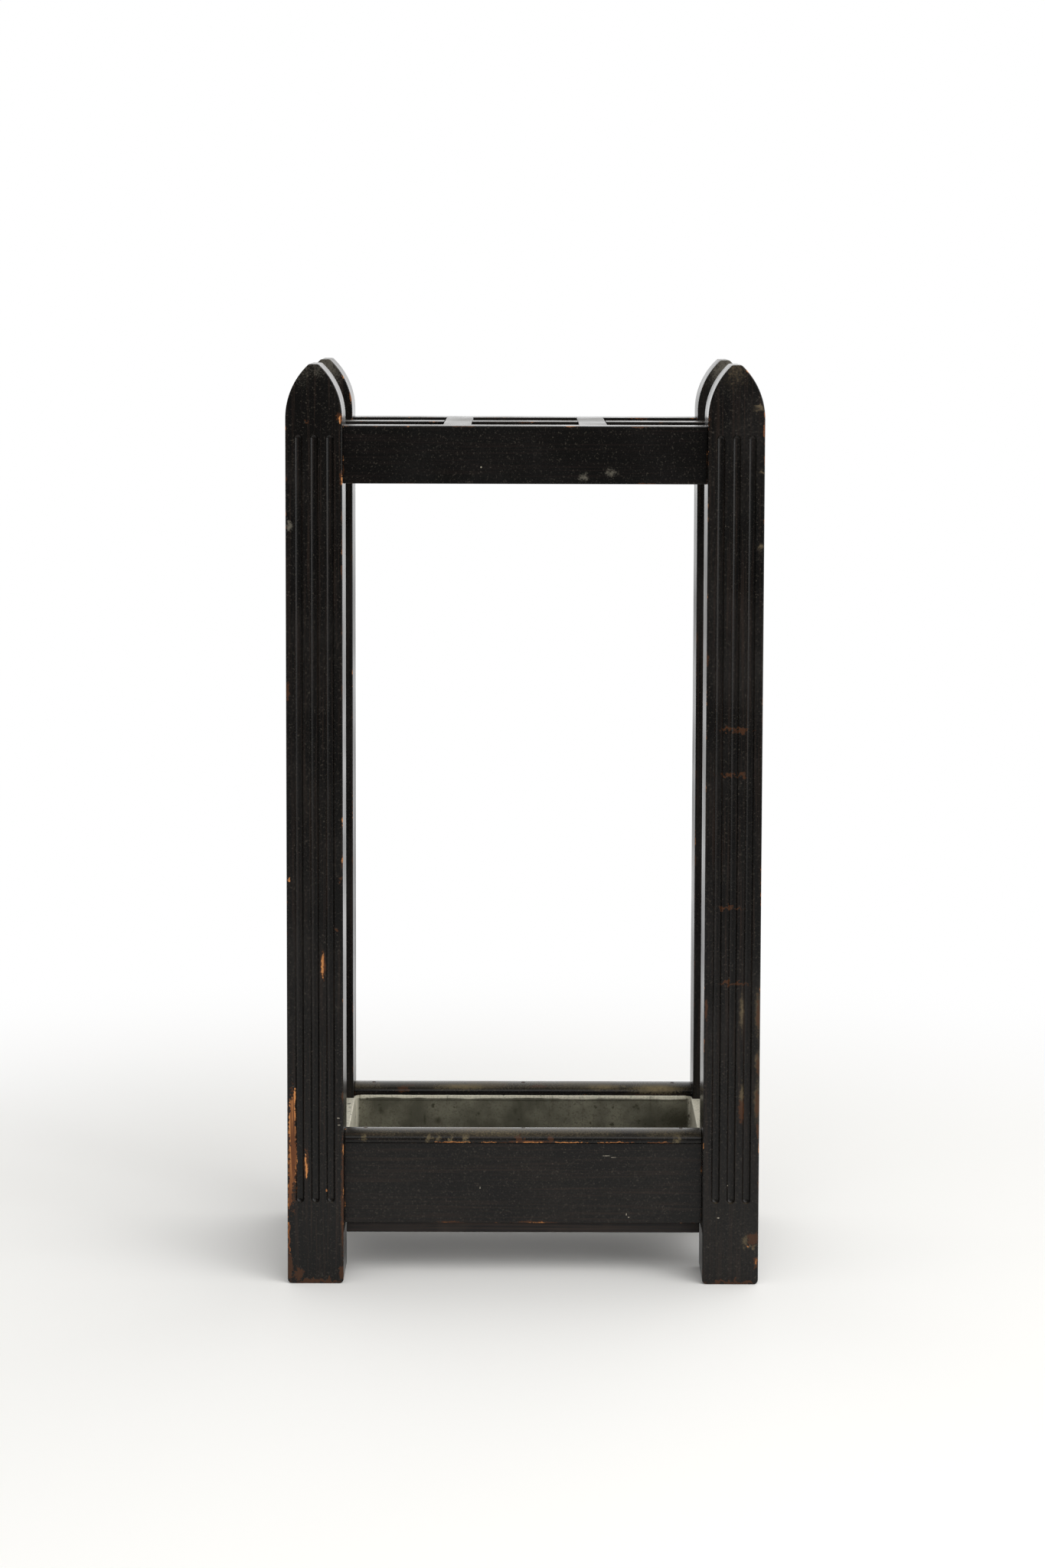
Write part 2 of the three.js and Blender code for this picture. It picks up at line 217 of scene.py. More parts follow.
@dataclass(frozen=True)
class EbonisedWood:
    """Beech stained black under a thin varnish.

    The eye sees near black with a soft clouded gloss, fibres about a millimetre apart, grey dust on
    what faces up, and orange-brown wood where corners are rubbed or knocked.
    """

    name: str
    grain: Grain
    marks: tuple[Mark, ...] = ()
    arch: bool = False  # True on a post, whose sides bend in over the arch
    black: str = "#0B0A09"
    charcoal: str = "#171513"
    brown: str = "#251C17"
    fleck: str = "#453F37"
    # colour of dust, also of the sheen painted on the left front post's arch
    dust_and_sheen: str = "#8A8475"
    thin: str = "#3C2414"
    bare: str = "#AA7140"
    bare_dark: str = "#57321A"
    pale: str = "#B4AC9A"
    gloss: float = 0.2
    dull: float = 0.38
    specular: float = 0.22
    cloud: float = 62 * MM
    speck: float = 1.4 * MM  # real specks are finer: drawn as coarse as they show
    fibre: float = 1.3 * MM
    fibre_length: float = 80 * MM
    crumble: float = 0.35  # how broken the rim of a mark is, as a share of its size
    tatter: float = 4 * MM  # size of the tatters in a mark's outline
    tear: float = 3.5 * MM  # how far they stray across the grain
    tear_length: float = 14 * MM  # and along it
    nick: float = 2.2 * MM  # size of the breaks in a rubbed corner
    thin_reach: float = 2.6 * MM  # how far in from a corner the black is rubbed thin
    thin_patch: float = 23 * MM  # length of the places where it is
    bare_reach: float = 1.3 * MM  # how far in the wood is laid bare
    bare_patch: float = 14 * MM
    relief: float = 0.08 * MM  # height of the raised fibres

    def material(self) -> Material:
        """Builds the material.

        Returns:
            A material with grain, clouded varnish, rubbed corners and the piece's own marks.
        """
        made, tree = blank_material(self.name)
        place = add(tree, "TexCoord", output="Object")
        fibres = self._fibres(tree, place)
        clouds = add(tree, "TexNoise", {"Vector": place, "Scale": 1 / self.cloud, "Detail": 4.0})
        specks = add(tree, "TexNoise", {"Vector": place, "Scale": 1 / self.speck, "Detail": 4.0})
        corner = self._corner_distance(tree, place)
        ragged = self._ragged(tree, place)
        rubbed = self._rubbed(tree, place, corner, self.thin_reach, self.thin_patch)
        brown = self._marked(tree, ragged, specks, Damage.BROWN, rubbed)
        rubbed = self._rubbed(tree, place, corner, self.bare_reach, self.bare_patch)
        bare = self._marked(tree, ragged, specks, Damage.BARE, rubbed)
        pale = self._marked(tree, place, specks, Damage.PALE, 0.0)
        # dust, and a painted sheen on the left front post's arch
        dust = self._marked(tree, ragged, specks, Damage.DUST_AND_SHEEN, self._settled(tree, clouds))
        sandy = add(tree, "MapRange", {0: specks, 1: 0.4, 2: 0.62, 3: 0.35, 4: 1.0})
        dust = add(tree, "Math", {0: dust, 1: sandy}, operation="MULTIPLY")

        mottle = add(tree, "Math", {0: clouds, 1: specks}, operation="MULTIPLY")
        mottle = add(tree, "MapRange", {0: mottle, 1: 0.16, 2: 0.38}, interpolation_type="SMOOTHSTEP")
        streaks = add(tree, "MapRange", {0: fibres, 1: 0.42, 2: 0.58}, interpolation_type="SMOOTHSTEP")
        wood = layered(tree, linear(self.bare_dark), (streaks, linear(self.bare)))
        colour = layered(
            tree,
            linear(self.black),
            (mottle, linear(self.charcoal)),
            (add(tree, "MapRange", {0: fibres, 1: 0.5, 2: 0.7, 3: 0.0, 4: 0.6}), linear(self.brown)),
            (add(tree, "MapRange", {0: specks, 1: 0.6, 2: 0.78, 3: 0.0, 4: 0.6}), linear(self.fleck)),
            (dust, linear(self.dust_and_sheen)),
            (add(tree, "Math", {0: brown, 1: 0.85}, operation="MULTIPLY"), linear(self.thin)),
            (bare, wood),
            (add(tree, "Math", {0: pale, 1: 0.5}, operation="MULTIPLY"), linear(self.pale)),
        )

        varnish = add(tree, "MapRange", {0: clouds, 1: 0.3, 2: 0.72, 3: self.gloss, 4: self.dull})
        dulled = add(tree, "Math", {0: bare, 1: dust}, operation="MAXIMUM")
        rough = add(tree, "Mix", {0: dulled, 2: varnish, 3: 0.72})
        relief = add(tree, "Math", {0: fibres, 1: 0.7, 2: specks}, operation="MULTIPLY_ADD")
        relief = add(tree, "Math", {0: bare, 1: -1.5, 2: relief}, operation="MULTIPLY_ADD")
        normal = add(tree, "Bump", {"Strength": 0.2, "Distance": self.relief, "Height": relief})
        surface = add(tree, "BsdfPrincipled", {
            "Base Color": colour,
            "Roughness": rough,
            "Specular IOR Level": self.specular,
            "Normal": normal,
        })
        add(tree, "OutputMaterial", {"Surface": surface})
        return made

    def _fibres(self, tree: Tree, place: Socket) -> Socket:
        """Long thin variation along the grain.

        Args:
            tree: The material's nodes.
            place: The position.

        Returns:
            Noise drawn out along the grain.
        """
        scale = [1 / self.fibre] * 3
        scale[self.grain.value] = 1 / self.fibre_length
        stretched = add(tree, "Mapping", {"Vector": place, "Scale": scale})
        return add(tree, "TexNoise", {"Vector": stretched, "Scale": 1.0, "Detail": 4.0})

    def _ragged(self, tree: Tree, place: Socket) -> Socket:
        """Shakes the position by a millimetre or two, so that a mark has a torn outline.

        Args:
            tree: The material's nodes.
            place: The position.

        Returns:
            The shaken position.
        """
        shake = add(tree, "TexNoise", {"Vector": place, "Scale": 1 / self.tatter, "Detail": 4.0}, output=1)
        centred = add(tree, "VectorMath", {0: shake, 1: (0.5, 0.5, 0.5)}, operation="SUBTRACT")
        reach = [self.tear] * 3
        reach[self.grain.value] = self.tear_length
        moved = add(tree, "VectorMath", {0: centred, 1: reach}, operation="MULTIPLY")
        return add(tree, "VectorMath", {0: place, 1: moved}, operation="ADD")

    def _corner_distance(self, tree: Tree, place: Socket) -> Socket:
        """Measures how far a point lies from the piece's nearest corner line.

        Args:
            tree: The material's nodes.
            place: The position.

        Returns:
            The distance in metres.
        """
        middle = add(tree, "Attribute", output="Vector", attribute_name="piece_middle")
        half = add(tree, "Attribute", output="Vector", attribute_name="piece_half")
        offset = add(tree, "VectorMath", {0: place, 1: middle}, operation="SUBTRACT")
        offset = add(tree, "VectorMath", {0: offset}, operation="ABSOLUTE")
        inside = add(tree, "VectorMath", {0: half, 1: offset}, operation="SUBTRACT")
        x, y, z = (add(tree, "SeparateXYZ", {0: inside}, output=axis) for axis in range(3))
        if self.arch:
            x = self._arch_depth(tree, place, offset)
        low = add(tree, "Math", {0: x, 1: y}, operation="MINIMUM")
        high = add(tree, "Math", {0: x, 1: y}, operation="MAXIMUM")
        capped = add(tree, "Math", {0: high, 1: z}, operation="MINIMUM")
        return add(tree, "Math", {0: low, 1: capped}, operation="MAXIMUM")

    @staticmethod
    def _arch_depth(tree: Tree, place: Socket, offset: Socket) -> Socket:
        """Measures how far a point lies in from a post's sides, which bend in over the arch.

        Args:
            tree: The material's nodes.
            place: The position.
            offset: Distance from the post's middle along each axis.

        Returns:
            The distance in metres.
        """
        arch = Arch.of_post()
        across = add(tree, "SeparateXYZ", {0: offset})
        out = add(tree, "Math", {0: across, 1: arch.radius - arch.half}, operation="ADD")
        height = add(tree, "SeparateXYZ", {0: place}, output=2)
        rise = add(tree, "Math", {0: height, 1: arch.spring}, operation="SUBTRACT")
        up = add(tree, "Math", {0: rise, 1: 0.0}, operation="MAXIMUM")
        flat = add(tree, "CombineXYZ", {0: out, 1: up})
        away = add(tree, "VectorMath", {0: flat}, output="Value", operation="LENGTH")
        return add(tree, "Math", {0: arch.radius, 1: away}, operation="SUBTRACT")

    def _rubbed(self, tree: Tree, place: Socket, corner: Socket, reach: float, patch: float) -> Socket:
        """Draws corner wear that comes and goes along the corners in patches.

        Args:
            tree: The material's nodes.
            place: The position.
            corner: Distance from the nearest corner line.
            reach: How far in from the corner the wear may come, in metres.
            patch: Length of a patch, in metres.

        Returns:
            The wear's mask.
        """
        slow = add(tree, "TexNoise", {"Vector": place, "Scale": 1 / patch, "Detail": 2.0})
        slow = add(tree, "MapRange", {0: slow, 1: 0.52, 2: 0.78}, interpolation_type="SMOOTHSTEP")
        quick = add(tree, "TexNoise", {"Vector": place, "Scale": 1 / self.nick, "Detail": 4.0})
        limit = add(tree, "MapRange", {0: quick, 1: 0.3, 2: 0.7, 3: 0.2 * reach, 4: reach})
        limit = add(tree, "Math", {0: limit, 1: slow}, operation="MULTIPLY")
        spare = add(tree, "Math", {0: limit, 1: corner}, operation="SUBTRACT")
        return add(tree, "MapRange", {0: spare, 1: 0.0, 2: 0.3 * MM})

    @staticmethod
    def _settled(tree: Tree, clouds: Socket) -> Socket:
        """Lets dust settle on faces that look up.

        Args:
            tree: The material's nodes.
            clouds: Slow noise that makes it patchy.

        Returns:
            The dust's mask.
        """
        facing = add(tree, "SeparateXYZ", {0: add(tree, "NewGeometry", output="Normal")}, output=2)
        facing = add(tree, "MapRange", {0: facing, 1: 0.5, 2: 1.0})
        patchy = add(tree, "MapRange", {0: clouds, 1: 0.34, 2: 0.66, 3: 0.04, 4: 0.3})
        return add(tree, "Math", {0: facing, 1: patchy}, operation="MULTIPLY")

    def _marked(
        self, tree: Tree, place: Socket, specks: Socket, damage: Damage, ground: Socket | float,
    ) -> Socket | float:
        """Adds the piece's own marks of one kind to a mask.

        Args:
            tree: The material's nodes.
            place: The position, shaken where the marks are torn.
            specks: Fine noise that crumbles their rims.
            damage: The kind of mark. Dust and the sheen painted with it fade out softly, the rest end in a
                torn line.
            ground: The mask that they are added to, or 0.

        Returns:
            The mask with the marks, or the ground where the piece has none.
        """
        crumbs = add(tree, "MapRange", {0: specks, 1: 0.3, 2: 0.7, 3: -self.crumble, 4: self.crumble})
        solid_from = 0.0 if damage is Damage.DUST_AND_SHEEN else 0.78
        for mark in (m for m in self.marks if m.damage is damage):
            rim = mark_distance(tree, place, mark.centre, mark.half, crumbs)
            fade = {0: rim, 1: 1.0, 2: solid_from, 3: 0.0, 4: 1.0}
            mask = add(tree, "MapRange", fade, interpolation_type="SMOOTHSTEP")
            ground = add(tree, "Math", {0: ground, 1: mask}, operation="MAXIMUM")
        return ground


@dataclass(frozen=True)
class StainedSoftwood:
    """Thin pine board, stained black at its edges.

    The eye sees a dull brown-black with long grain and grey dust, browner than the varnished wood.
    """

    name: str = "black_stained_pine"
    stain: str = "#0F0C0B"
    dry: str = "#241B15"
    dust: str = "#352E27"
    fibre: float = 1.6 * MM
    fibre_length: float = 90 * MM
    cloud: float = 38 * MM
    relief: float = 0.2 * MM

    def material(self) -> Material:
        """Builds the material.

        Returns:
            A dull brown-black wood with long grain and dust.
        """
        made, tree = blank_material(self.name)
        place = add(tree, "TexCoord", output="Object")
        scale = (1 / self.fibre_length, 1 / self.fibre, 1 / self.fibre)
        stretched = add(tree, "Mapping", {"Vector": place, "Scale": scale})
        grain = add(tree, "TexNoise", {"Vector": stretched, "Scale": 1.0, "Detail": 5.0})
        clouds = add(tree, "TexNoise", {"Vector": place, "Scale": 1 / self.cloud, "Detail": 4.0})
        dried = add(tree, "MapRange", {0: grain, 1: 0.4, 2: 0.65})
        dusted = add(tree, "MapRange", {0: clouds, 1: 0.52, 2: 0.8, 3: 0.0, 4: 0.6})
        colour = layered(tree, linear(self.stain), (dried, linear(self.dry)), (dusted, linear(self.dust)))
        surface = add(tree, "BsdfPrincipled", {
            "Base Color": colour,
            "Roughness": add(tree, "MapRange", {0: clouds, 1: 0.3, 2: 0.7, 3: 0.6, 4: 0.82}),
            "Specular IOR Level": 0.3,
            "Normal": add(tree, "Bump", {"Strength": 0.5, "Distance": self.relief, "Height": grain}),
        })
        add(tree, "OutputMaterial", {"Surface": surface})
        return made


@dataclass(frozen=True)
class ZincSheet:
    """Zinc-coated sheet under a skin of oxide.

    The eye sees dark olive-grey walls with water streaks, and paler dry metal on the rims and the
    flanges, where hands have kept it clean. The end walls are painted pale for the light that
    falls on them, and painted shade darkens the back wall's right inner corner.
    """

    name: str = "weathered_zinc_sheet"
    wall: str = "#737060"
    dark: str = "#4C4A3D"
    # pale dry metal, also used for the light painted on the end walls
    bright: str = "#D2CDBA"
    # stain colour, also laid as painted shade in the back wall's right inner corner
    stain: str = "#2C2918"
    cloud: float = 24 * MM
    grit: float = 1.6 * MM  # real grit is finer: drawn as coarse as it shows
    pit: float = 7 * MM  # spacing of the dark pits
    run: float = 4 * MM  # width of the water streaks
    run_length: float = 30 * MM
    relief: float = 0.25 * MM
    handled: float = 2.6 * MM  # how far down from the rim the paler metal reaches
    ebb: float = 3.2 * MM  # how far that line rises and falls
    end_wall: float = 21 * MM  # from the flanges' tips to the inside of the end walls
    stains_and_corner_shade: tuple[tuple[float, float, float, float], ...] = (
        (131.0, 89.0, 24.0, 16.0), (-118.5, 97.5, 2.8, 3.2), (-71.0, 89.0, 4.0, 3.8),
        (-82.0, 90.0, 1.4, 6.0), (-6.5, 97.0, 2.2, 3.8), (-37.0, 95.0, 1.8, 1.8),
    )  # stains on the back wall, the first and widest of them painted shade in its right inner corner: X, height, half width and half height, in mm
    stain_and_shade_depth: float = 8.0  # how far those reach to the front, in mm
    crumble: float = 0.35  # how broken their rims are, as a share of their size

    def material(self) -> Material:
        """Builds the material.

        Returns:
            An oxide skin with water stains and pits, paler on the rims and flanges, with the end walls
            painted pale for the light on them and painted shade in a back corner.
        """
        made, tree = blank_material(self.name)
        place = add(tree, "TexCoord", output="Object")
        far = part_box("drip_tray")[1]
        clouds = add(tree, "TexNoise", {"Vector": place, "Scale": 1 / self.cloud, "Detail": 5.0})
        fine = add(tree, "TexNoise", {"Vector": place, "Scale": 1 / self.grit, "Detail": 5.0})
        pits = add(tree, "TexNoise", {"Vector": place, "Scale": 1 / self.pit, "Detail": 2.0})
        down = (1 / self.run, 1 / self.run, 1 / self.run_length)
        runs = add(tree, "Mapping", {"Vector": place, "Scale": down})
        streaks = add(tree, "TexNoise", {"Vector": runs, "Scale": 1.0, "Detail": 4.0})
        height = add(tree, "SeparateXYZ", {0: place}, output=2)
        level = add(tree, "Math", {0: clouds, 1: self.ebb, 2: height}, operation="MULTIPLY_ADD")
        edge = far.z - self.handled + self.ebb / 2
        clean = add(tree, "MapRange", {0: level, 1: edge, 2: edge + 0.5 * MM})
        worn = add(tree, "MapRange", {0: fine, 1: 0.45, 2: 0.8, 3: 0.0, 4: 0.6})
        dry = layered(tree, linear(self.bright), (worn, linear(self.wall)))
        across = add(tree, "SeparateXYZ", {0: place}, output=0)
        aside = add(tree, "Math", {0: across}, operation="ABSOLUTE")
        wall_x = far.x - self.end_wall
        # painted light: the inner faces of the end walls are drawn pale for the light that falls on them
        ends = add(tree, "MapRange", {0: aside, 1: wall_x - 3 * MM, 2: wall_x - MM, 3: 0.0, 4: 0.8})
        stain_and_shade_mask = self._stains_and_shade(tree, place, fine, far.y / MM)
        colour = layered(
            tree,
            linear(self.dark),
            (add(tree, "MapRange", {0: clouds, 1: 0.35, 2: 0.65}), linear(self.wall)),
            (add(tree, "MapRange", {0: fine, 1: 0.5, 2: 0.7, 3: 0.0, 4: 0.8}), linear(self.dark)),
            (ends, linear(self.bright)),
            (clean, dry),
            (add(tree, "MapRange", {0: streaks, 1: 0.6, 2: 0.78, 3: 0.0, 4: 0.6}), linear(self.stain)),
            (add(tree, "MapRange", {0: pits, 1: 0.66, 2: 0.71, 3: 0.0, 4: 0.8}), linear(self.stain)),
            # the stains and the painted shade in the right inner corner
            (stain_and_shade_mask, linear(self.stain)),
        )
        surface = add(tree, "BsdfPrincipled", {
            "Base Color": colour,
            "Metallic": add(tree, "MapRange", {0: clean, 1: 0.0, 2: 1.0, 3: 0.1, 4: 0.2}),
            "Roughness": add(tree, "MapRange", {0: fine, 1: 0.3, 2: 0.7, 3: 0.45, 4: 0.65}),
            "Normal": add(tree, "Bump", {"Strength": 0.25, "Distance": self.relief, "Height": clouds}),
        })
        add(tree, "OutputMaterial", {"Surface": surface})
        return made

    def _stains_and_shade(self, tree: Tree, place: Socket, fine: Socket, wall: float) -> Socket:
        """Draws the stains on the back wall and the painted shade in its right inner corner.

        Args:
            tree: The material's nodes.
            place: The position.
            fine: Fine noise that breaks their rims.
            wall: Where the back wall stands, in mm.

        Returns:
            The mask of the stains and the painted shade.
        """
        crumbs = add(tree, "MapRange", {0: fine, 1: 0.3, 2: 0.7, 3: -self.crumble, 4: self.crumble})
        stain_and_shade_mask: Socket | float = 0.0
        for x, z, wide, tall in self.stains_and_corner_shade:
            rim = mark_distance(tree, place, (x, wall, z), (wide, self.stain_and_shade_depth, tall), crumbs)
            mask = add(tree, "MapRange", {0: rim, 1: 1.0, 2: 0.2, 3: 0.0, 4: 0.8})
            stain_and_shade_mask = add(tree, "Math", {0: stain_and_shade_mask, 1: mask}, operation="MAXIMUM")
        return stain_and_shade_mask


@dataclass(frozen=True)
class BlackenedIron:
    """Drawn iron, oiled black and begun to rust.

    The eye sees a brown-black dull metal with rust in spots about a millimetre wide.
    """

    name: str = "blackened_iron"
    black: str = "#3A3330"
    rust: str = "#6A4026"
    spot: float = 1.3 * MM
    relief: float = 0.1 * MM

    def material(self) -> Material:
        """Builds the material.

        Returns:
            A dark metal with rust in spots.
        """
        made, tree = blank_material(self.name)
        place = add(tree, "TexCoord", output="Object")
        spots = add(tree, "TexNoise", {"Vector": place, "Scale": 1 / self.spot, "Detail": 4.0})
        rusty = add(tree, "MapRange", {0: spots, 1: 0.45, 2: 0.65})
        colour = layered(tree, linear(self.black), (rusty, linear(self.rust)))
        surface = add(tree, "BsdfPrincipled", {
            "Base Color": colour,
            "Metallic": add(tree, "MapRange", {0: rusty, 1: 0.0, 2: 1.0, 3: 0.9, 4: 0.1}),
            "Roughness": add(tree, "MapRange", {0: spots, 1: 0.4, 2: 0.65, 3: 0.45, 4: 0.85}),
            "Normal": add(tree, "Bump", {"Strength": 0.4, "Distance": self.relief, "Height": spots}),
        })
        add(tree, "OutputMaterial", {"Surface": surface})
        return made


@dataclass(frozen=True)
class PaleFloor:
    """Matt white studio floor that runs out into a white background."""

    name: str = "matt_white_floor"
    paint: str = "#F6F5F2"
    shade_ahead: float = 0.3  # how far before the stand the middle of its shaded part lies
    shade_to: float = 0.6  # radius within which the floor shows its shadows as they are
    white_from: float = 1.3  # radius beyond which it is plain white to the eye
    dark_from: float = 0.2  # how far in front it starts to fall into the dark of the room
    dark_to: float = 2.2  # how far in front it is as dark as the room
    grit: float = 3 * MM
    relief: float = 0.1 * MM

    def material(self) -> Material:
        """Builds the material.

        Returns:
            A matt floor, plain white far from the stand.
        """
        made, tree = blank_material(self.name)
        place = add(tree, "TexCoord", output="Object")
        shifted = add(tree, "Mapping", {"Vector": place, "Location": (0.0, self.shade_ahead, 0.0)})
        away = add(tree, "VectorMath", {0: shifted}, output="Value", operation="LENGTH")
        reach = {0: away, 1: self.shade_to, 2: self.white_from}
        far = add(tree, "MapRange", reach, interpolation_type="SMOOTHSTEP")
        amount = add(tree, "Math", {0: far, 1: direct_view(tree)}, operation="MULTIPLY")
        across = add(tree, "SeparateXYZ", {0: place}, output=1)
        reach = {0: across, 1: -self.dark_to, 2: -self.dark_from, 3: ROOM_DARK, 4: 1.0}
        lit = add(tree, "MapRange", reach)
        mirrored = add(tree, "LightPath", output="Is Glossy Ray")
        strength = add(tree, "Mix", {0: mirrored, 2: 1.0, 3: lit})
        grit = add(tree, "TexNoise", {"Vector": place, "Scale": 1 / self.grit, "Detail": 2.0})
        relief = add(tree, "Bump", {"Strength": 0.1, "Distance": self.relief, "Height": grit})
        tone = layered(tree, linear("#000000"), (strength, linear(self.paint)))
        paint = add(tree, "BsdfDiffuse", {"Color": tone, "Normal": relief})
        white = add(tree, "Emission", {"Strength": strength})
        surface = add(tree, "MixShader", {0: amount, 1: paint, 2: white})
        add(tree, "OutputMaterial", {"Surface": surface})
        return made


def direct_view(tree: Tree) -> Socket:
    """A mask that is 1 for the background as it is seen, mirrored or looked at through glass.

    Args:
        tree: The nodes that get it.

    Returns:
        The mask's socket.
    """
    camera, glossy, through = (
        add(tree, "LightPath", output=name)
        for name in ("Is Camera Ray", "Is Glossy Ray", "Is Transmission Ray")
    )
    either = add(tree, "Math", {0: camera, 1: glossy}, operation="MAXIMUM")
    return add(tree, "Math", {0: either, 1: through}, operation="MAXIMUM")


# ------------------------------------------------------------------ mesh building


def stored(name: str, mesh: BMesh) -> bpy.types.Mesh:
    """Turns a bmesh into mesh data.

    Args:
        name: The data's name.
        mesh: The bmesh. It is freed.

    Returns:
        The data.
    """
    data = bpy.data.meshes.new(name)
    mesh.to_mesh(data)
    mesh.free()
    return data


def placed(name: str, data: bpy.types.ID) -> Object:
    """Makes an object of some data and puts it in the scene.

    Args:
        name: The object's name.
        data: Mesh, lamp or camera data.

    Returns:
        The object.
    """
    made = bpy.data.objects.new(name, data)
    bpy.context.scene.collection.objects.link(made)
    return made


def crisp(mesh: BMesh) -> list[BMEdge]:
    """The edges at which a mesh folds sharply."""
    return [e for e in mesh.edges if e.calc_face_angle(0.0) > SHARP_ANGLE]


def arc(mesh: BMesh, start: BMVert, centre: Point, axis: Point, angle: float, steps: int) -> BMVert:
    """Draws an arc from a vertex.

    Args:
        mesh: The mesh that the vertex belongs to.
        start: The vertex.
        centre: Centre of the arc.
        axis: The axis that it turns about.
        angle: How far it turns, in radians.
        steps: Number of its edges.

    Returns:
        The vertex at its end.
    """
    spun = bmesh.ops.spin(
        mesh, geom=[start], cent=centre, axis=axis, angle=angle, steps=steps, dvec=(0, 0, 0),
        space=Matrix(), use_merge=False, use_duplicate=False, use_normal_flip=False,
    )
    return next(v for v in spun["geom_last"] if isinstance(v, BMVert))


def carried(mesh: BMesh, way: Point) -> None:
    """Fills an outline and carries it along a line to make a closed solid.

    Args:
        mesh: The mesh, which holds the outline alone.
        way: How far and which way it goes.
    """
    face = bmesh.ops.edgeloop_fill(mesh, edges=mesh.edges)["faces"][0]
    grown = bmesh.ops.extrude_face_region(mesh, geom=[face], use_keep_orig=True)["geom"]
    bmesh.ops.translate(mesh, vec=way, verts=[v for v in grown if isinstance(v, BMVert)])
    bmesh.ops.recalc_face_normals(mesh, faces=mesh.faces)


def brick(mesh: BMesh, low: Point | Vector, high: Point | Vector) -> list[BMVert]:
    """Adds a box between two corners.

    Args:
        mesh: The mesh that gets it.
        low: Lowest corner.
        high: Highest corner.

    Returns:
        The box's eight vertices.
    """
    low, high = Vector(low), Vector(high)
    place = Matrix.Translation((low + high) / 2) @ Matrix.Diagonal((*(high - low), 1.0))
    return bmesh.ops.create_cube(mesh, size=1.0, matrix=place)["verts"]


def rounded(mesh: BMesh, edges: Iterable[BMEdge], radius: float, steps: int) -> None:
    """Rounds edges.

    Args:
        mesh: The mesh that they belong to.
        edges: The edges.
        radius: Radius in metres.
        steps: Number of facets round the corner.
    """
    bmesh.ops.bevel(
        mesh, geom=list(edges), offset=radius, segments=steps, profile=0.5,
        affect="EDGES", clamp_overlap=True, material=-1,
    )


def stepped_rod(mesh: BMesh, x: float, y: float, profile: list[tuple[float, float]], sides: int = 24) -> None:
    """Adds a closed upright rod whose radius changes with height.

    Args:
        mesh: The mesh that gets it.
        x: Place of its axis.
        y: Place of its axis.
        profile: Radius and height of each step, from one end to the other.
        sides: Facets round it.
    """
    radius, height = profile[0]
    ring = bmesh.ops.create_circle(
        mesh, cap_ends=True, segments=sides, radius=radius, matrix=Matrix.Translation((x, y, height)),
    )["verts"]
    face = ring[0].link_faces[0]
    for next_radius, next_height in profile[1:]:
        face = bmesh.ops.extrude_discrete_faces(mesh, faces=[face])["faces"][0]
        around = Matrix.Translation((-x, -y, -height))
        ratio = next_radius / radius
        bmesh.ops.scale(mesh, vec=(ratio, ratio, 1), space=around, verts=face.verts)
        bmesh.ops.translate(mesh, vec=(0, 0, next_height - height), verts=face.verts)
        radius, height = next_radius, next_height
    bmesh.ops.edgeloop_fill(mesh, edges=[e for e in mesh.edges if e.is_boundary])


def combined(mesh: BMesh, other: BMesh, operation: str = "DIFFERENCE") -> BMesh:
    """Cuts one closed mesh with another, or joins the two.

    Args:
        mesh: The mesh to work on. It is freed.
        other: The tools, or what is joined on. It is freed.
        operation: DIFFERENCE or UNION.

    Returns:
        The result.
    """
    objects = []
    for name, part in (("work", mesh), ("tools", other)):
        bmesh.ops.recalc_face_normals(part, faces=part.faces)
        objects.append(placed(name, stored(name, part)))
    boolean = objects[0].modifiers.new("boolean", "BOOLEAN")
    boolean.operation = operation
    boolean.solver = "EXACT"
    boolean.use_self = operation == "DIFFERENCE"
    boolean.object = objects[1]
    result = bmesh.new()
    result.from_object(objects[0], bpy.context.evaluated_depsgraph_get())
    for obj in objects:
        bpy.data.meshes.remove(obj.data)
    bmesh.ops.remove_doubles(result, verts=result.verts, dist=DOUBLES)
    return result


def tenon_room(mesh: BMesh, node: str) -> None:
    """Adds the space that a bar's two tenons fill, with its gap, as one brick along the bar.

    Args:
        mesh: The mesh that gets it.
        node: The bar's CAD node.
    """
    low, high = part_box(node)
    across = 1 if high.x - low.x > high.y - low.y else 0
    middle = (low + high) / 2
    gap = Vector((FIT, FIT, -TENON_SHOULDER + FIT))
    low, high = low - gap, high + gap
    low[across] = middle[across] - TENON_THICK / 2 - FIT
    high[across] = middle[across] + TENON_THICK / 2 + FIT
    brick(mesh, low, high)


def fixing_room(mesh: BMesh, node: str) -> None:
    """Adds the hole that a screw or a brad needs.

    Args:
        mesh: The mesh that gets it.
        node: The fastener's CAD node.
    """
    low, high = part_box(node)
    x, y = (low.x + high.x) / 2, (low.y + high.y) / 2
    head = (high.x - low.x) / 2 + FIT
    if node.startswith("bottom_screw"):
        shank = SCREW_SHANK + FIT
        sunk = low.z + SCREW_HEAD + FIT
        profile = [(head, low.z - MM), (head, low.z + FIT), (shank, sunk), (shank, high.z + FIT)]
    else:
        shank = BRAD_SHANK + FIT
        sunk = high.z - BRAD_HEAD - FIT
        profile = [(head, high.z + MM), (head, sunk), (shank, sunk - 0.1 * MM), (shank, low.z - FIT)]
    stepped_rod(mesh, x, y, profile)


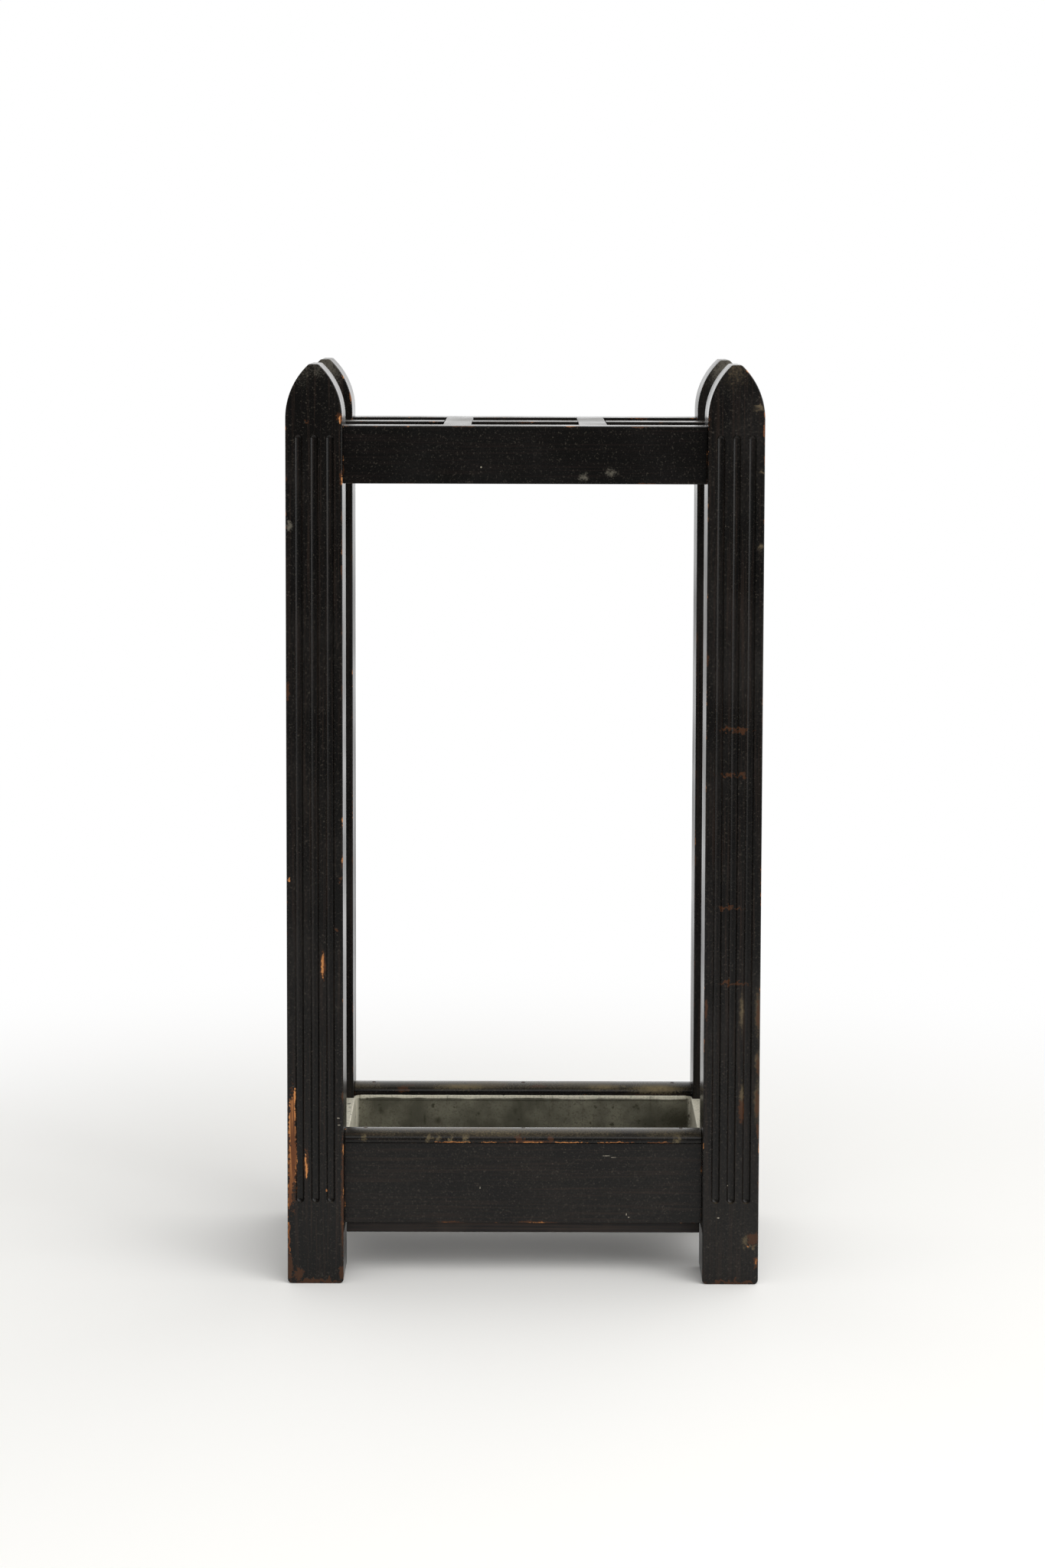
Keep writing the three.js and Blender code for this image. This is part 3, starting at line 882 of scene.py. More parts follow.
@dataclass
class Piece:
    """A finished piece that stands for a CAD node, modelled in place."""

    node: str
    finish: Finish
    receives: tuple[str, ...] = ()  # bars whose tenons enter this piece
    fixings: tuple[str, ...] = ()  # screws and brads that pass through it
    body: str = STAND
    slot: str = "ebonised_wood"

    @property
    def low(self) -> Vector:
        """Lowest corner of the node."""
        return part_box(self.node)[0]

    @property
    def high(self) -> Vector:
        """Highest corner of the node."""
        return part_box(self.node)[1]

    @property
    def middle(self) -> Vector:
        """Centre of the node's box."""
        return (self.low + self.high) / 2

    def extent(self) -> tuple[Vector, Vector]:
        """Lowest and highest corner of the piece without its tenons."""
        return self.low, self.high

    def blank(self) -> BMesh:
        """Models the piece before anything is cut into it."""
        raise NotImplementedError

    def add_cutters(self, tools: BMesh) -> None:
        """Adds what is cut out of the blank.

        Args:
            tools: The mesh that gets the cutters.
        """
        for node in self.receives:
            tenon_room(tools, node)
        for node in self.fixings:
            fixing_room(tools, node)

    def soften(self, mesh: BMesh) -> None:
        """Eases the corners that the cutters left. Most pieces need nothing."""

    def build(self) -> Object:
        """Models and dresses the piece, and hands it to its body.

        Returns:
            The finished object.
        """
        mesh, tools = self.blank(), bmesh.new()
        self.add_cutters(tools)
        if len(tools.verts):
            mesh = combined(mesh, tools)
        self.soften(mesh)
        bmesh.ops.recalc_face_normals(mesh, faces=mesh.faces)
        for face in mesh.faces:
            face.smooth = True
        for edge in mesh.edges:
            edge.smooth = edge.calc_face_angle(math.pi) < SHARP_ANGLE
        data = stored(self.node + "_finished", mesh)
        low, high = self.extent()
        for name, value in (("piece_middle", (low + high) / 2), ("piece_half", (high - low) / 2)):
            attribute = data.attributes.new(name, "FLOAT_VECTOR", "POINT")
            attribute.data.foreach_set("vector", list(value) * len(data.vertices))
        piece = placed(self.node + "_finished", data)
        data.materials.append(dressed(self.finish))
        shading = piece.modifiers.new("even_shading", "WEIGHTED_NORMAL")
        shading.keep_sharp = True
        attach(piece, self.body)
        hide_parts(self.node)
        LOG.info("%s: %d faces", piece.name, len(data.polygons))
        return piece


MADE: dict[Finish, Material] = {}


def dressed(finish: Finish) -> Material:
    """The material of a finish, made once and shared.

    Args:
        finish: The finish.

    Returns:
        Its material.
    """
    if finish not in MADE:
        MADE[finish] = finish.material()
    return MADE[finish]


# ------------------------------------------------------------------ posts


@dataclass(frozen=True)
class Arch:
    """The pointed arch at the top of a post."""

    half: float  # half the post's width
    spring: float  # height at which the arch starts
    radius: float
    sweep: float  # angle of each side's arc, in radians

    RISE = 42 * MM
    TIP_WIDTH = 7.2 * MM

    @classmethod
    def of_post(cls) -> "Arch":
        """Works out the arch that all four posts share.

        Returns:
            The arch.
        """
        low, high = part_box("post_front_left")
        half = (high.x - low.x) / 2
        inset = half - cls.TIP_WIDTH / 2
        radius = (cls.RISE ** 2 + inset ** 2) / (2 * inset)
        return cls(half, high.z - cls.RISE, radius, math.asin(cls.RISE / radius))


@dataclass
class Post(Piece):
    """A square post with a pointed arch top and three round-ended flutes in its outer face."""

    arch_steps: int = 20
    foot_round: float = 3.5 * MM
    foot_steps: int = 4
    flutes: int = 3
    flute_pitch: float = 12.1 * MM
    flute_width: float = 6.8 * MM
    flute_depth: float = 2.4 * MM
    flute_bottom: float = 64.7 * MM
    flute_below_arch: float = 11.8 * MM
    flute_sides: int = 32
    flute_end_steps: int = 8
    flute_lip: float = 0.4 * MM
    flute_point: float = 0.05 * MM  # radius at the very ends of the rod that cuts a flute

    def blank(self) -> BMesh:
        """Half the outline, mirrored, filled, carried along Y and rounded.

        Returns:
            The post without flutes and mortises.
        """
        arch = Arch.of_post()
        mesh = bmesh.new()
        front = -arch.half
        corners = ((0, front, 0), (arch.half, front, 0), (arch.half, front, arch.spring))
        outline = [mesh.verts.new(p) for p in corners]
        for start, end in zip(outline, outline[1:]):
            mesh.edges.new((start, end))
        centre = (arch.half - arch.radius, front, arch.spring)
        tip = arc(mesh, outline[-1], centre, (0, -1, 0), arch.sweep, self.arch_steps)
        mesh.edges.new((tip, mesh.verts.new((0, front, tip.co.z))))
        bmesh.ops.mirror(mesh, geom=mesh.verts[:] + mesh.edges[:], merge_dist=DOUBLES, axis="X")
        bmesh.ops.remove_doubles(mesh, verts=mesh.verts, dist=DOUBLES)
        carried(mesh, (0, 2 * arch.half, 0))
        toes = [
            e for e in crisp(mesh)
            if all(v.co.z < MM for v in e.verts) and e.verts[0].co.x == e.verts[1].co.x
        ]
        rounded(mesh, toes, self.foot_round, self.foot_steps)
        rounded(mesh, crisp(mesh), ARRIS, ARRIS_STEPS)
        if self.middle.y > 0:
            bmesh.ops.rotate(mesh, cent=(0, 0, 0), matrix=Matrix.Rotation(math.pi, 3, "Z"), verts=mesh.verts)
        bmesh.ops.translate(mesh, vec=(self.middle.x, self.middle.y, 0), verts=mesh.verts)
        return mesh

    def add_cutters(self, tools: BMesh) -> None:
        """Adds the flutes to the mortises.

        Args:
            tools: The mesh that gets the cutters.
        """
        super().add_cutters(tools)
        arch = Arch.of_post()
        radius = ((self.flute_width / 2) ** 2 + self.flute_depth ** 2) / (2 * self.flute_depth)
        out = math.copysign(1.0, self.middle.y)
        y = self.middle.y + out * (arch.half - self.flute_depth + radius)
        for i in range(self.flutes):
            x = self.middle.x + (i - (self.flutes - 1) / 2) * self.flute_pitch
            stepped_rod(tools, x, y, self._flute_profile(radius), self.flute_sides)

    def _flute_profile(self, radius: float) -> list[tuple[float, float]]:
        """Radius and height of the round-ended rod that cuts a flute.

        Args:
            radius: Radius of the rod.

        Returns:
            The rod's steps, from its lower end to its upper one.
        """
        low = self.flute_bottom + self.flute_width / 2
        high = Arch.of_post().spring - self.flute_below_arch - self.flute_width / 2
        turns = [math.pi / 2 * i / self.flute_end_steps for i in range(self.flute_end_steps + 1)]
        end = [(max(radius * math.cos(a), self.flute_point), radius * math.sin(a)) for a in turns]
        lower = [(wide, low - rise) for wide, rise in reversed(end)]
        return lower + [(wide, high + rise) for wide, rise in end]

    def soften(self, mesh: BMesh) -> None:
        """Rounds the flutes' lips where they meet the outer face.

        Args:
            mesh: The cut post.
        """
        face_y = self.middle.y + math.copysign(Arch.of_post().half, self.middle.y)
        lips = [e for e in crisp(mesh) if all(abs(v.co.y - face_y) < DOUBLES for v in e.verts)]
        rounded(mesh, lips, self.flute_lip, 2)


# ------------------------------------------------------------------ bars, boards and caps


@dataclass
class Bar(Piece):
    """A straight bar or board with a tenon on each end."""

    grain: Grain = Grain.X
    tenon: float = 0.0
    laps: tuple[str, ...] = ()  # bars that cross this one in half laps
    lap_above: bool = True  # True where this bar is notched from above

    def extent(self) -> tuple[Vector, Vector]:
        """Finds the bar between its shoulders.

        Returns:
            Its lowest and its highest corner.
        """
        inward = Vector((0, 0, 0))
        inward[self.grain.value] = self.tenon
        return self.low + inward, self.high - inward

    def blank(self) -> BMesh:
        """A brick with its long corners rounded and its tenons drawn out of its ends.

        Returns:
            The uncut bar.
        """
        low, high = self.extent()
        axis, across = self.grain.value, 1 - self.grain.value
        length, thick = high[axis] - low[axis], high[across] - low[across]
        mesh = bmesh.new()
        brick(mesh, low, high)
        mesh.normal_update()
        ends = [f for f in mesh.faces if abs(f.normal[axis]) > 0.9]
        bmesh.ops.inset_individual(mesh, faces=ends, thickness=TENON_SHOULDER, use_even_offset=True)
        narrow = Vector((1, 1, 1))
        narrow[across] = TENON_THICK / (thick - 2 * TENON_SHOULDER)
        for face in bmesh.ops.extrude_discrete_faces(mesh, faces=ends)["faces"]:
            centre = face.calc_center_median()
            bmesh.ops.scale(mesh, vec=narrow, space=Matrix.Translation(-centre), verts=face.verts)
            out = Vector((0, 0, 0))
            out[axis] = math.copysign(self.tenon, centre[axis] - self.middle[axis])
            bmesh.ops.translate(mesh, vec=out, verts=face.verts)
        rounded(mesh, [e for e in mesh.edges if e.calc_length() > length - MM], ARRIS, ARRIS_STEPS)
        return mesh

    def add_cutters(self, tools: BMesh) -> None:
        """Adds the half laps to the mortises and holes.

        Args:
            tools: The mesh that gets the cutters.
        """
        super().add_cutters(tools)
        axis = self.grain.value
        meeting = self.middle.z
        for node in self.laps:
            other_low, other_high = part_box(node)
            low, high = self.low - Vector((MM, MM, MM)), self.high + Vector((MM, MM, MM))
            low[axis], high[axis] = other_low[axis] - FIT, other_high[axis] + FIT
            if self.lap_above:
                low.z = meeting - FIT / 2
            else:
                high.z = meeting + FIT / 2
            brick(tools, low, high)


@dataclass
class Cap(Piece):
    """A strip with a rounded top that lies on a long board, proud of it outside."""

    shoulder: float = 2.4 * MM  # height of the upright sides under the rounded top
    top_steps: int = 24
    under_round: float = 1.2 * MM
    end_round: float = 0.5 * MM

    def blank(self) -> BMesh:
        """Half a turn flattened to an ellipse, closed below, carried along X and eased.

        Returns:
            The uncut cap.
        """
        half = (self.high.y - self.low.y) / 2
        spring = self.low.z + self.shoulder
        mesh = bmesh.new()
        start = mesh.verts.new((self.low.x, self.high.y, spring))
        arc(mesh, start, (self.low.x, self.middle.y, spring), (1, 0, 0), math.pi, self.top_steps)
        flatter = (1, 1, (self.high.z - spring) / half)
        around = Matrix.Translation((0, 0, -spring))
        bmesh.ops.scale(mesh, vec=flatter, space=around, verts=mesh.verts)
        sides = [v for v in mesh.verts if len(v.link_edges) == 1]
        feet = [mesh.verts.new((v.co.x, v.co.y, self.low.z)) for v in sides]
        for pair in (*zip(sides, feet), feet):
            mesh.edges.new(pair)
        carried(mesh, (self.high.x - self.low.x, 0, 0))
        bottom = self.low.z + DOUBLES
        under = [
            e for e in mesh.edges
            if all(v.co.z < bottom for v in e.verts) and e.verts[0].co.y == e.verts[1].co.y
        ]
        rounded(mesh, under, self.under_round, 4)
        rounded(mesh, crisp(mesh), self.end_round, 2)
        return mesh


@dataclass
class BottomBoard(Piece):
    """Thin board under the box, notched round the four posts."""

    gap: float = 1.5 * MM
    edge_round: float = 0.6 * MM
    least_edge: float = 6 * MM  # shorter edges, such as those of the screw holes, stay sharp

    def blank(self) -> BMesh:
        """A thin brick.

        Returns:
            The board before its notches.
        """
        mesh = bmesh.new()
        brick(mesh, self.low, self.high)
        return mesh

    def add_cutters(self, tools: BMesh) -> None:
        """Adds the notches for the posts to the screw holes.

        Args:
            tools: The mesh that gets the cutters.
        """
        super().add_cutters(tools)
        around = Vector((self.gap, self.gap, 0))
        for node in POSTS:
            low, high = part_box(node)
            brick(tools, low - around, high + around)

    def soften(self, mesh: BMesh) -> None:
        """Eases the upright corners and the long edges.

        Args:
            mesh: The notched board.
        """
        mesh.normal_update()
        outer = [e for e in crisp(mesh) if e.calc_length() > self.least_edge]
        rounded(mesh, outer, self.edge_round, 2)


# ------------------------------------------------------------------ drip tray


@dataclass
class DripTray(Piece):
    """Box of zinc sheet with folded hems on its long rims and two end flanges."""

    sheet: float = 1 * MM
    corner: float = 5 * MM
    corner_steps: int = 6
    base_fold: float = 1.6 * MM
    hem: float = 4 * MM
    hem_thick: float = 2.1 * MM  # two sheets and the gap in the fold
    hem_round: float = 0.55 * MM
    hem_cuts: int = 60
    hem_over: float = 0.4 * MM  # how far the hems stand over the walls
    flange: float = 20 * MM
    flange_half: float = 46 * MM
    flange_corner: float = 4 * MM
    flange_roll: float = 0.7 * MM  # radius where it turns down into the end wall
    waver: float = 0.25 * MM  # how far the hems stray from a straight line
    sway_length: float = 22 * MM  # distance along which they stray sideways
    drop_length: float = 35 * MM  # and down

    def blank(self) -> BMesh:
        """Shell, hems and flanges joined into one sheet.

        Returns:
            The finished tray.
        """
        mesh = self._shell()
        for part in (self._hem(-1), self._hem(1), self._flange(-1), self._flange(1)):
            mesh = combined(mesh, part, "UNION")
        return mesh

    @property
    def half_x(self) -> float:
        """Half the length over the end walls."""
        return self.high.x - self.flange

    def _shell(self) -> BMesh:
        """Draws the floor, raises the four walls from it and gives them one thickness of sheet.

        Returns:
            The shell.
        """
        mesh = bmesh.new()
        half_y = self.high.y
        turns = ((-1, -1), (1, -1), (1, 1), (-1, 1))
        floor = mesh.faces.new([mesh.verts.new((x * self.half_x, y * half_y, self.low.z)) for x, y in turns])
        bmesh.ops.bevel(
            mesh, geom=floor.verts[:], offset=self.corner, segments=self.corner_steps, profile=0.5,
            affect="VERTICES", clamp_overlap=True, material=-1,
        )
        rim = mesh.edges[:]
        grown = bmesh.ops.extrude_edge_only(mesh, edges=rim)["geom"]
        top = self.high.z - self.hem_over
        moved = [v for v in grown if isinstance(v, BMVert)]
        bmesh.ops.translate(mesh, vec=(0, 0, top - self.low.z), verts=moved)
        base = [e for e in mesh.edges if all(v.co.z < self.low.z + DOUBLES for v in e.verts)]
        rounded(mesh, base, self.base_fold, 3)
        bmesh.ops.recalc_face_normals(mesh, faces=mesh.faces)
        middle = Vector((0, 0, self.middle.z))
        if sum((f.calc_center_median() - middle).dot(f.normal) for f in mesh.faces) < 0:
            bmesh.ops.reverse_faces(mesh, faces=mesh.faces)
        bmesh.ops.solidify(mesh, geom=mesh.faces[:], thickness=self.sheet)
        return mesh

    def _hem(self, side: int) -> BMesh:
        """The sheet folded back inside along a long rim, with a slight waver.

        Args:
            side: -1 for the front rim, 1 for the back one.

        Returns:
            The hem.
        """
        mesh = bmesh.new()
        straight = self.half_x - self.corner
        outer = self.high.y
        inner = outer - self.hem_thick
        ys = sorted((side * inner, side * outer))
        brick(mesh, (-straight, ys[0], self.high.z - self.hem), (straight, ys[1], self.high.z))
        along = [e for e in mesh.edges if e.calc_length() > straight]
        rounded(mesh, along, self.hem_round, 3)
        along = [e for e in mesh.edges if e.calc_length() > straight]
        bmesh.ops.subdivide_edges(mesh, edges=along, cuts=self.hem_cuts, use_grid_fill=True)
        for vert in mesh.verts:
            # each hem and direction reads its own line of the noise
            sway = noise.noise(Vector((vert.co.x / self.sway_length, side * 3.7, 0.0)))
            drop = abs(noise.noise(Vector((vert.co.x / self.drop_length, side * 9.1, 5.0))))
            vert.co.y -= side * abs(sway) * self.waver
            vert.co.z -= drop * self.waver
        return mesh

    def _flange(self, side: int) -> BMesh:
        """The flat flange that carries one end of the tray on an end board.

        Args:
            side: -1 for the left end, 1 for the right one.

        Returns:
            The flange.
        """
        mesh = bmesh.new()
        inner = self.half_x - self.sheet
        outer = self.high.x
        xs = sorted((side * inner, side * outer))
        low = (xs[0], -self.flange_half, self.high.z - self.sheet)
        brick(mesh, low, (xs[1], self.flange_half, self.high.z))
        upright = [
            e for e in mesh.edges
            if e.calc_length() < 2 * self.sheet and abs(e.verts[0].co.x) > self.half_x
        ]
        rounded(mesh, upright, self.flange_corner, 5)
        rolled = [
            e for e in mesh.edges
            if all(abs(abs(v.co.x) - inner) < DOUBLES and v.co.z > self.high.z - DOUBLES for v in e.verts)
        ]
        rounded(mesh, rolled, self.flange_roll, 3)
        return mesh


# ------------------------------------------------------------------ wear marks


Row = tuple[float, float, float, float]


def marks(damage: Damage, y: float, depth: float, rows: Iterable[Row]) -> tuple[Mark, ...]:
    """Marks on a face that looks to the front.

    Args:
        damage: What they show.
        y: Where their middles are, in mm: on the face, or before it where they are faint.
        depth: How far round the corners and into the face they reach, in mm.
        rows: For each mark its X, its height, half its width and half its height, in mm.

    Returns:
        The marks.
    """
    return tuple(Mark(damage, (x, y, z), (wide, depth, tall)) for x, z, wide, tall in rows)


POST_FACE = -91.5  # Y of the front faces, in mm
RAIL_FACE = -83.5
BOARD_FACE = -77.5
CAP_FACE = -80.5
BACK_POST_FACE = 47.5  # Y of the back posts' and the back cap's sides that look to the front
BACK_CAP_FACE = 57.5

LEFT_POST_MARKS = (
    *marks(Damage.BARE, POST_FACE, 3.0, (
        (-179.3, 149, 1.0, 7), (-181.0, 138, 2.5, 11), (-181.0, 121, 2.9, 15), (-180.4, 102, 3.6, 14),
        (-181.3, 89, 3.1, 10), (-182.7, 76, 1.8, 10), (-183.6, 65, 1.1, 7), (-183.8, 37, 0.9, 14),
        (-169.8, 91, 0.9, 6), (-170.6, 99, 0.8, 6), (-154.6, 75, 0.8, 2.2), (-141.0, 74, 0.45, 6),
        (-141.0, 108, 0.4, 5), (-156.8, 254.7, 1.3, 8), (-142.2, 680, 1.3, 2.2),
        (-182.9, 321, 1.0, 1.6), (-141.0, 634, 0.7, 3.2), (-141.1, 337, 0.8, 1.6),
        (-182.9, 698, 1.0, 1.6),
    )),
    *marks(Damage.BROWN, POST_FACE, 4.0, (
        (-181.0, 108, 3.8, 50), (-170.2, 95, 2.0, 12), (-156.8, 254.7, 2.4, 11), (-141.4, 70, 1.6, 50),
        (-183.4, 13, 2.6, 13), (-176.5, 8, 4.5, 4.5), (-163.0, 1.6, 21, 2.4), (-142.4, 8, 2.4, 7),
        (-142.8, 322, 1.6, 2.0), (-146.0, 283, 1.4, 1.8), (-141.6, 635, 1.6, 6.0),
        (-143.0, 682, 2.6, 4.2), (-168.5, 679.5, 1.5, 1.7), (-141.2, 605, 0.9, 5),
        (-141.2, 583, 0.9, 5), (-183.4, 470, 1.4, 8),
    )),
    *marks(Damage.PALE, POST_FACE, 2.0, (
        (-144.8, 132.5, 1.2, 0.4), (-144.4, 127, 1.1, 0.4),
    )),
    # painted sheen: these two draw the grey sheen high on the arch in the dust colour
    *marks(Damage.DUST_AND_SHEEN, POST_FACE - 6.5, 9.0, (
        (-172.0, 724, 16.0, 26.0), (-158.0, 722, 14.0, 16.0),
    )),
    *marks(Damage.DUST_AND_SHEEN, POST_FACE - 4, 9.0, (
        (-182.2, 598, 3.4, 4.0),
    )),
)

RIGHT_POST_MARKS = (
    *marks(Damage.BROWN, POST_FACE, 3.5, (
        (163, 440, 15, 1.6), (163, 404, 14, 1.2), (160, 300, 13, 1.2), (164, 240, 14, 1.4),
        (171.0, 139, 2.6, 11), (183.2, 216, 1.6, 14), (183.4, 176, 1.5, 8), (183.2, 145, 1.7, 11),
        (183.8, 124, 1.0, 8), (142.6, 220, 1.2, 8), (181.0, 37, 4.6, 5.4), (183.0, 18, 2.0, 5),
        (163, 1.5, 20, 1.8),
    )),
    *marks(Damage.BARE, POST_FACE, 2.5, (
        (177.0, 31.8, 2.0, 0.5), (183.4, 18, 0.8, 2.2), (184.2, 672, 0.9, 7),
    )),
    *marks(Damage.PALE, POST_FACE, 2.0, (
        (153.4, 53.5, 1.0, 0.6), (160.6, 79.0, 0.6, 0.6),
    )),
    *marks(Damage.DUST_AND_SHEEN, POST_FACE - 6.5, 9.0, (
        (162.0, 722, 18.0, 24.0),
    )),
    *marks(Damage.DUST_AND_SHEEN, POST_FACE - 4, 9.0, (
        (180.6, 690, 6.0, 4.0), (183.5, 641, 4.0, 2.6), (182.5, 582, 3.6, 4.6), (183.0, 217, 3.4, 26.0),
        (170.4, 218, 2.6, 22.0), (183.0, 178, 3.2, 12.0), (183.0, 147, 3.4, 22.0),
        (171.0, 150, 2.6, 18.0), (174.4, 35, 3.4, 8.0), (180.0, 30.6, 6.0, 2.4),
    )),
)

BACK_LEFT_MARKS = (
    *marks(Damage.BARE, BACK_POST_FACE, 3.0, (
        (-147.6, 709, 1.8, 3.0), (-142.2, 694, 1.2, 7.0),
    )),
    *marks(Damage.DUST_AND_SHEEN, BACK_POST_FACE - 5, 9.0, ((-163.0, 718, 22.0, 34.0),)),
)

BACK_RIGHT_MARKS = marks(Damage.DUST_AND_SHEEN, BACK_POST_FACE - 5, 9.0, ((163.0, 718, 22.0, 34.0),))

CAP_MARKS = (
    *marks(Damage.BARE, CAP_FACE, 2.2, (
        (-56.0, 110.4, 14, 0.5), (-28.0, 110.4, 8, 0.45), (4.0, 110.5, 9, 0.8), (36.0, 110.4, 12, 0.5),
        (72.0, 110.4, 16, 0.5), (106.0, 110.4, 11, 0.45),
    )),
    *marks(Damage.BROWN, CAP_FACE, 3.2, (
        (-3.0, 113.0, 3.2, 4.5), (22.0, 113.0, 2.0, 3.5), (5.0, 110.7, 22, 1.2),
    )),
    *marks(Damage.DUST_AND_SHEEN, CAP_FACE - 7, 14.0, (
        (-124.8, 117.0, 4.5, 11.0), (-75.0, 116.0, 5.0, 12.0), (-68.0, 116.0, 3.5, 10.0),
        (-57.0, 115.0, 3.0, 12.0), (-45.0, 116.0, 4.0, 12.0), (121.6, 116.0, 5.0, 14.0),
    )),
)

BACK_CAP_MARKS = (
    *marks(Damage.DUST_AND_SHEEN, BACK_CAP_FACE, 10.0, (
        (112.0, 117.0, 36.0, 7.0), (66.0, 118.0, 30.0, 5.0), (-50.0, 118.0, 40.0, 5.0),
    )),
    *marks(Damage.BROWN, BACK_CAP_FACE, 6.0, (
        (-100.0, 115.0, 5.0, 3.0), (-94.0, 117.5, 9.0, 1.6), (12.0, 117.0, 9.0, 1.6),
        (-16.0, 118.0, 5.0, 1.2),
    )),
)

BOARD_MARKS = (
    *marks(Damage.BARE, BOARD_FACE, 2.5, (
        (-61.0, 44.3, 3.6, 0.7), (14.5, 44.4, 7.5, 1.0), (-20.0, 44.2, 6.0, 0.5),
    )),
    *marks(Damage.BROWN, BOARD_FACE, 3.0, (
        (10.0, 44.6, 20.0, 1.6), (-60.0, 44.6, 8.0, 1.4),
    )),
    *marks(Damage.PALE, BOARD_FACE, 1.5, (
        (-34.0, 73.0, 0.3, 1.0), (65.5, 98.8, 4.0, 0.22), (71.5, 97.6, 2.2, 0.2),
        (81.6, 51.8, 0.4, 1.0), (83.4, 49.4, 0.7, 0.4),
    )),
)

RAIL_MARKS = (
    *marks(Damage.BROWN, RAIL_FACE, 2.0, ((-44.0, 675.3, 6.0, 1.2),)),
    *marks(Damage.PALE, RAIL_FACE, 2.0, ((-34.0, 643.4, 0.7, 0.7),)),
    *marks(Damage.DUST_AND_SHEEN, RAIL_FACE - 5, 9.0, (
        (46.4, 635.8, 6.0, 5.0), (67.0, 639.5, 6.0, 5.0),
    )),
)


# ------------------------------------------------------------------ the stand

POSTS = ("post_front_left", "post_front_right", "post_back_left", "post_back_right")
SIDES = ("left", "middle", "right")
FIXING_NODES = (
    *(f"bottom_screw_{row}_{side}" for row in ("front", "back") for side in SIDES),
    "bottom_screw_end_left",
    "bottom_screw_end_right",
    *(f"cap_pin_{row}_{side}" for row in ("front", "back") for side in SIDES),
)


@dataclass
class Carcass:
    """The four posts and the bars that join them."""

    rail_tenon: float = 18.5 * MM
    board_tenon: float = 13.5 * MM
    stub_tenon: float = 11 * MM
    along_x: EbonisedWood = EbonisedWood("ebonised_beech_crosswise", Grain.X)
    along_y: EbonisedWood = EbonisedWood("ebonised_beech_front_to_back", Grain.Y)
    tan_dust: str = "#7D6D50"  # the dust on the right front post is browner
    cap_dust: str = "#94835E"

    def pieces(self) -> list[Piece]:
        """Lists the posts, rails, dividers and boards.

        Returns:
            The pieces, ready to build.
        """
        return [*self._posts(), *self._top_frame(), *self._box()]

    def _posts(self) -> list[Piece]:
        """Makes the four posts, each with the bars that enter it.

        Returns:
            The posts.
        """
        wear = (LEFT_POST_MARKS, RIGHT_POST_MARKS, BACK_LEFT_MARKS, BACK_RIGHT_MARKS)
        dust = (EbonisedWood.dust_and_sheen, self.tan_dust, EbonisedWood.dust_and_sheen, EbonisedWood.dust_and_sheen)
        posts = []
        for node, own, dust_and_sheen in zip(POSTS, wear, dust):
            _, row, side = node.split("_")
            bars = (f"top_rail_{row}", f"top_rail_{side}", f"box_board_{row}", f"box_board_{side}")
            finish = EbonisedWood(f"ebonised_beech_{node}", Grain.Z, own, arch=True, dust_and_sheen=dust_and_sheen)
            posts.append(Post(node, finish, receives=bars))
        return posts

    def _top_frame(self) -> list[Piece]:
        """Makes the rails and dividers round the compartments.

        Returns:
            The top frame's bars.
        """
        front = EbonisedWood(
            "ebonised_beech_front_rail", Grain.X, RAIL_MARKS, charcoal="#100F0E", brown="#191311", dull=0.3
        )
        dividers = ("divider_left", "divider_right")
        middle = ("top_rail_middle",)
        rail, stub = self.rail_tenon, self.stub_tenon
        return [
            Bar("top_rail_front", front, receives=dividers, tenon=rail),
            Bar("top_rail_back", self.along_x, receives=dividers, tenon=rail),
            Bar("top_rail_middle", self.along_x, tenon=stub, laps=dividers),
            *(
                Bar(f"top_rail_{side}", self.along_y, receives=middle, grain=Grain.Y, tenon=rail)
                for side in ("left", "right")
            ),
            *(
                Bar(node, self.along_y, grain=Grain.Y, tenon=stub, laps=middle, lap_above=False)
                for node in dividers
            ),
        ]

    def _box(self) -> list[Piece]:
        """Makes the boards of the low box, their caps and the bottom board.

        Returns:
            The box's pieces.
        """
        board_face = EbonisedWood("ebonised_beech_front_board", Grain.X, BOARD_MARKS)
        pieces: list[Piece] = []
        for row, board, own in (("front", board_face, CAP_MARKS), ("back", self.along_x, BACK_CAP_MARKS)):
            screws = tuple(f"bottom_screw_{row}_{side}" for side in SIDES)
            brads = tuple(f"cap_pin_{row}_{side}" for side in SIDES)
            cap = EbonisedWood(
                f"ebonised_beech_{row}_cap", Grain.X, own, dust_and_sheen=self.cap_dust, gloss=0.18, dull=0.3
            )
            pieces.append(Bar(f"box_board_{row}", board, fixings=screws + brads, tenon=self.board_tenon))
            pieces.append(Cap(f"cap_{row}", cap, fixings=brads))
        for side in ("left", "right"):
            screw = (f"bottom_screw_end_{side}",)
            end = Bar(
                f"box_board_{side}", self.along_y, fixings=screw, grain=Grain.Y, tenon=self.board_tenon
            )
            pieces.append(end)
        screws = tuple(node for node in FIXING_NODES if node.startswith("bottom_screw"))
        pieces.append(BottomBoard("bottom_board", StainedSoftwood(), fixings=screws, slot="bottom_wood"))
        return pieces


@dataclass(frozen=True)
class Fixings:
    """Screws and brads, which keep their CAD shape and get a real finish."""

    nodes: tuple[str, ...] = FIXING_NODES

    def dress(self) -> None:
        """Gives every fastener its iron."""
        iron = dressed(BlackenedIron())
        for node in self.nodes:
            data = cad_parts[node].data
            data.materials.clear()
            data.materials.append(iron)
        LOG.info("%d fasteners dressed", len(self.nodes))


# ------------------------------------------------------------------ studio


